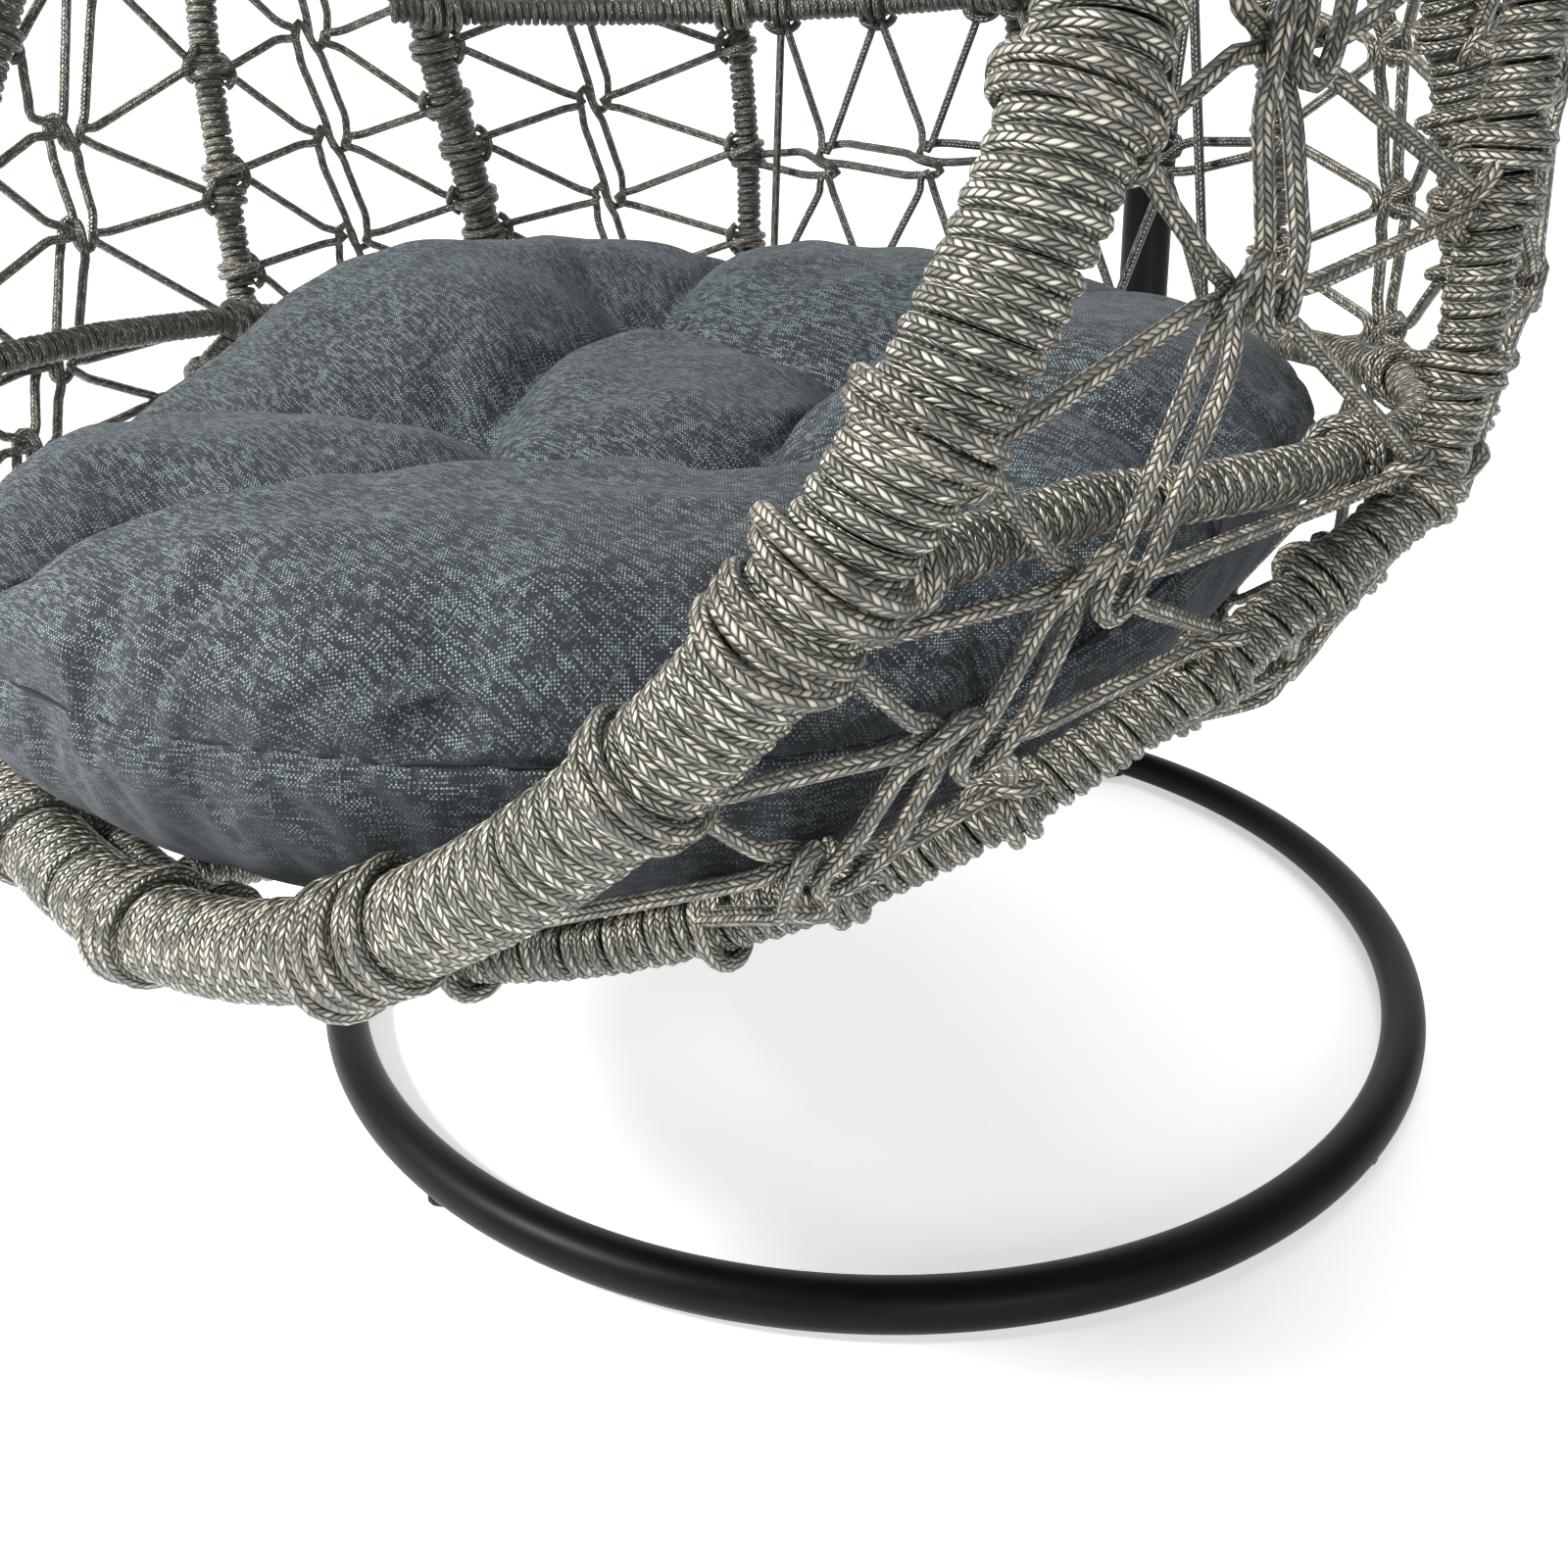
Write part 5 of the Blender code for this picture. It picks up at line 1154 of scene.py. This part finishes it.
tube_object("post_high_tube", np.vstack([[P0 + V3(0, 0, z) for z in np.linspace(JOINT_Z, ARM_BEND_Z - 0.02, 6)], arm]), POST_R, BLACK, "stand", sides=40, replaces="post_upper")
lathe("post_socket_sleeve", [(POST_R + 0.0006, 0.020), (POST_R + 0.0034, 0.020), (POST_R + 0.0034, SOCKET_TOP - 0.002), (POST_R + 0.0026, SOCKET_TOP), (POST_R + 0.0006, SOCKET_TOP)], P0, "Z", BLACK, "stand", replaces="post_socket")
# weld bead where the sleeve stands on the ring
bead = []
for i in range(120):
    a = math.tau * i / 120
    x, y = (POST_R + 0.0030) * math.cos(a), (POST_R + 0.0030) * math.sin(a)
    r_here = math.hypot(x, RING_R + y) - RING_R
    if abs(r_here) < RING_TUBE:
        z = RING_Z + math.sqrt(max(RING_TUBE**2 - r_here**2, 0))
    else:
        z = RING_Z
    bead.append(P0 + V3(x, y, z + 0.0006 * math.sin(a * 34)))
bead = np.array(bead)
_, bn = carried(bead, closed=True)
bag = Bag()
bag.sweep(bead, bn, 0.0024 + 0.0003 * np.sin(np.arange(120) * 1.9), 8, closed=True)
bag.build("post_weld", BLACK, "stand")

# ------------------------------------------------------ hanging hardware --
# plug in the arm's open end
tip = Vector(arm[-1] - arm[-2]).normalized()
turn_to_tip = Vector((0, 0, 1)).rotation_difference(tip).to_matrix().freeze()
lathe("arm_plug", [(0.0232, 0.0003), (0.0238, 0.0008), (0.0239, 0.0028), (0.0233, 0.0044), (0.0218, 0.0055), (0.0180, 0.0061), (0.0090, 0.0064), (0.0010, 0.0065)], arm[-1], turn_to_tip, PLASTIC, "stand", replaces="arm_end_cap")


def rod_loop(name, z_low, height, width, rod, plane, body, gate_body, node):
    """Snap hook: a bent rod open on one side, and its gate on a pin."""
    r = width / 2
    straight = height - width
    gate_low = z_low + r + 0.006
    gate_high = z_low + r + straight - 0.002
    uz = [(r, gate_high + 0.0005)]
    uz += [(r * math.cos(a), z_low + r + straight + r * math.sin(a)) for a in np.linspace(0, math.pi, 25)]
    uz += [(-r, z_low + r + straight * k / 4) for k in (3, 2, 1)]
    uz += [(r * math.cos(a), z_low + r + r * math.sin(a)) for a in np.linspace(math.pi, math.tau, 25)]
    uz += [(r, gate_low - 0.0005)]
    put_at = (lambda u, z: V3(u, 0, z) + OFF) if plane == "XZ" else (lambda u, z: V3(0, u, z) + OFF)
    path = np.array([put_at(u, z) for u, z in uz])
    bag = Bag()
    flat = np.tile(V3(0, 1, 0) if plane == "XZ" else V3(1, 0, 0), (len(path), 1))
    bag.sweep(path, flat, rod * 0.985, 16)
    ob = bag.build(name, ZINC, body)
    ob.data.set_sharp_from_angle(angle=math.radians(50))
    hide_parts(node)
    zs = np.array([gate_low + 0.0013, gate_low + 0.0019, gate_low + 0.0060, gate_low + 0.0064, gate_high - 0.0064, gate_high - 0.0060, gate_high - 0.0006, gate_high])
    rad = rod * np.array([0.70, 0.80, 0.80, 0.72, 0.72, 0.80, 0.80, 0.70])
    bag = Bag()
    bag.sweep(np.array([put_at(r, z) for z in zs]), np.tile(V3(1, 0, 0), (len(zs), 1)), rad, 16)
    ob = bag.build(name + "_latch", ZINC, gate_body)
    ob.data.set_sharp_from_angle(angle=math.radians(40))
    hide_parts(node + "_gate")


def rod_ring(name, z, radius, rod, slot_mat, body, node=None):
    a = np.arange(48) * math.tau / 48
    path = np.stack([np.zeros(48), radius * np.cos(a), z + radius * np.sin(a)], 1) + OFF
    bag = Bag()
    bag.sweep(path, np.tile(V3(1, 0, 0), (48, 1)), rod, 14, closed=True)
    ob = bag.build(name, slot_mat, body)
    if node:
        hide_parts(node)
    return ob


CAR_LOW, SW_LOW, SPRING_TOP = 1.8116, 1.7760, 1.7481
rod_loop("snap_hook_upper", CAR_LOW, 0.076, 0.036, 0.0040, "XZ", "top_carabiner", "top_gate", "upper_carabiner")
rod_loop("snap_hook_lower", SPRING_TOP - 0.1364 + 0.0028 + 0.0012 + 0.0040 - 0.076, 0.076, 0.036, 0.0040, "YZ", "basket", "bottom_gate", "lower_carabiner")
SW_TOP = SW_LOW + 0.020
rod_ring("swivel_eye_upper", SW_TOP - 0.001 + 0.0125, 0.0125, 0.0037, ZINC, "swivel_top", "swivel_upper")
lathe("swivel_housing", [(0.0060, SW_LOW), (0.0108, SW_LOW + 0.0006), (0.0124, SW_LOW + 0.0022), (0.0125, SW_LOW + 0.0040), (0.0119, SW_LOW + 0.0052), (0.0125, SW_LOW + 0.0064), (0.0125, SW_TOP - 0.0048), (0.0119, SW_TOP - 0.0028), (0.0100, SW_TOP - 0.0010), (0.0078, SW_TOP)], OFF, "Z", ZINC, "swivel_top")
rod_ring("swivel_eye_lower", SW_LOW - 0.0228, 0.0125, 0.0037, ZINC, "swivel_bottom", "swivel_lower")
lathe("swivel_stem", [(0.0056, SW_LOW - 0.0113), (0.0080, SW_LOW - 0.0090), (0.0085, SW_LOW - 0.0080), (0.0085, SW_LOW - 0.0018), (0.0080, SW_LOW - 0.0008), (0.0040, SW_LOW - 0.0006), (0.0040, SW_LOW + 0.0010)], OFF, "Z", ZINC, "swivel_bottom")

# tension spring: its coils open evenly as the basket goes down on it
coil_top, coil_low = SPRING_TOP - 0.021, SPRING_TOP - 0.1154
hook = np.radians(np.linspace(-60, 180, 25))
wire = [V3(0.0085 * math.cos(a), 0, SPRING_TOP - 0.0085 + 0.0085 * math.sin(a)) for a in hook]
wire += [V3(-0.0125, -0.002, coil_top + 0.0035)]
wire += [V3(0.0155 * math.cos(math.pi + math.tau * i / 28), 0.0155 * math.sin(math.pi + math.tau * i / 28), coil_top - 0.0118 * i / 28) for i in range(8 * 28 + 1)]
wire += [V3(-0.0125, 0.002, coil_low - 0.0035)]
wire += [V3(-0.0085 * math.cos(a), 0, SPRING_TOP - 0.1364 + 0.0085 - 0.0085 * math.sin(a)) for a in hook[1:]]
wire = np.array(wire) + OFF
_, wn = carried(wire)
bag = Bag()
bag.sweep(wire, wn, 0.00275, 12)
spring = bag.build("spring_wire", ZINC, None)
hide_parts("tension_spring")
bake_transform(spring)
rod_ring("arm_eye", 1.892, 0.0135, 0.0045, BLACK, "stand", "hanger_eye")


def paint(name, mat):
    ob = nodes[name]
    ob.data.materials.clear()
    ob.data.materials.append(mat)


for n in nodes:
    if n.endswith("_tube") or n in ("post_spigot", "crown_hub", "bottom_hub", "hanger_eye"):
        paint(n, BLACK)
    elif n.startswith("glide"):
        paint(n, RUBBER)
    elif n == "arm_end_cap":
        paint(n, PLASTIC)
    elif "carabiner" in n or n.startswith("swivel") or n == "tension_spring" or n.startswith("joint_"):
        paint(n, ZINC)

# ------------------------------------------------------- stage and camera --
me = bpy.data.meshes.new("studio_floor")
S = 14.0
me.from_pydata([(-S, -S, 0), (S, -S, 0), (S, S, 0), (-S, S, 0)], [], [(0, 1, 2, 3)])
floor = bpy.data.objects.new("studio_floor", me)
bpy.context.scene.collection.objects.link(floor)
fm, fnt, fb = new_material("studio_floor_mat")
fb.inputs["Base Color"].default_value = (0.88, 0.88, 0.875, 1)
fb.inputs["Emission Color"].default_value = (1, 1, 0.99, 1)
fb.inputs["Emission Strength"].default_value = 0.46
fb.inputs["Roughness"].default_value = 0.9
me.materials.append(fm)

# white backdrop behind the object
me = bpy.data.meshes.new("studio_wall")
away, across = Vector((-0.680, 0.733, 0)).normalized(), Vector((0.733, 0.680, 0)).normalized()
foot = Vector((0, 0, 0)) + away * 6.5
me.from_pydata([tuple(foot - across * 9 + Vector((0, 0, -0.02))), tuple(foot + across * 9 + Vector((0, 0, -0.02))), tuple(foot + across * 9 + Vector((0, 0, 7))), tuple(foot - across * 9 + Vector((0, 0, 7)))], [], [(0, 1, 2, 3)])
wall = bpy.data.objects.new("studio_wall", me)
bpy.context.scene.collection.objects.link(wall)
wm, wnt, wb = new_material("studio_wall_mat")
wb.inputs["Base Color"].default_value = (0.8, 0.8, 0.8, 1)
wb.inputs["Roughness"].default_value = 1.0
wb.inputs["Emission Color"].default_value = (1, 0.995, 0.985, 1)
wb.inputs["Emission Strength"].default_value = 0.85
me.materials.append(wm)

world = bpy.data.worlds.new("studio")
bpy.context.scene.world = world
world.use_nodes = True
bg = world.node_tree.nodes["Background"]
wg = Graph(world.node_tree)
height = wg.split(wg.node("ShaderNodeTexCoord").outputs["Generated"])[2]
wg.put(bg.inputs[0], wg.mix(wg.remap(height, 0.12, 0.65), (0.50, 0.50, 0.50), (0.22, 0.22, 0.225)))
bg.inputs[1].default_value = 1.0


def area(name, at, target, size, power, color=(1, 1, 1)):
    d = bpy.data.lights.new(name, "AREA")
    d.shape = "RECTANGLE"
    d.size, d.size_y = size
    d.energy = power
    d.color = color
    o = bpy.data.objects.new(name, d)
    bpy.context.scene.collection.objects.link(o)
    o.location = at
    o.rotation_euler = (Vector(target) - Vector(at)).to_track_quat("-Z", "Y").to_euler()
    return o


area("key", (-0.9, -2.3, 2.3), (0.2, -0.3, 0.5), (0.7, 0.7), 185, (1.0, 0.99, 0.97))
area("fill", (2.9, -1.6, 1.5), (0.2, -0.3, 0.5), (1.2, 1.2), 34, (0.97, 0.985, 1.0))
area("top", (0.3, 0.6, 3.6), (0, 0, 0.4), (2.0, 2.0), 42)

cam = bpy.data.cameras.new("camera")
camo = bpy.data.objects.new("camera", cam)
bpy.context.scene.collection.objects.link(camo)
bpy.context.scene.camera = camo
cam.sensor_width = 36.0
cam.lens = 31.5
cam.shift_y = -0.12
cam.clip_start = 0.01
cam.clip_end = 60
yaw_dir = unit([-0.680, 0.733, 0.0])
pitch = math.radians(-17.4)
fwd = np.array([yaw_dir[0] * math.cos(pitch), yaw_dir[1] * math.cos(pitch), math.sin(pitch)])
right = np.array([yaw_dir[1], -yaw_dir[0], 0.0])
upv = np.cross(right, fwd)
roll = math.radians(-0.97)
r2 = math.cos(roll) * right + math.sin(roll) * upv
u2 = -math.sin(roll) * right + math.cos(roll) * upv
mat = Matrix((
    (r2[0], u2[0], -fwd[0], 0.701),
    (r2[1], u2[1], -fwd[1], -0.614 + HANG_Y),
    (r2[2], u2[2], -fwd[2], 0.668),
    (0, 0, 0, 1),
))
camo.matrix_world = mat

vs = bpy.context.scene.view_settings
vs.view_transform = "Standard"
vs.look = "None"

bpy.context.view_layer.update()
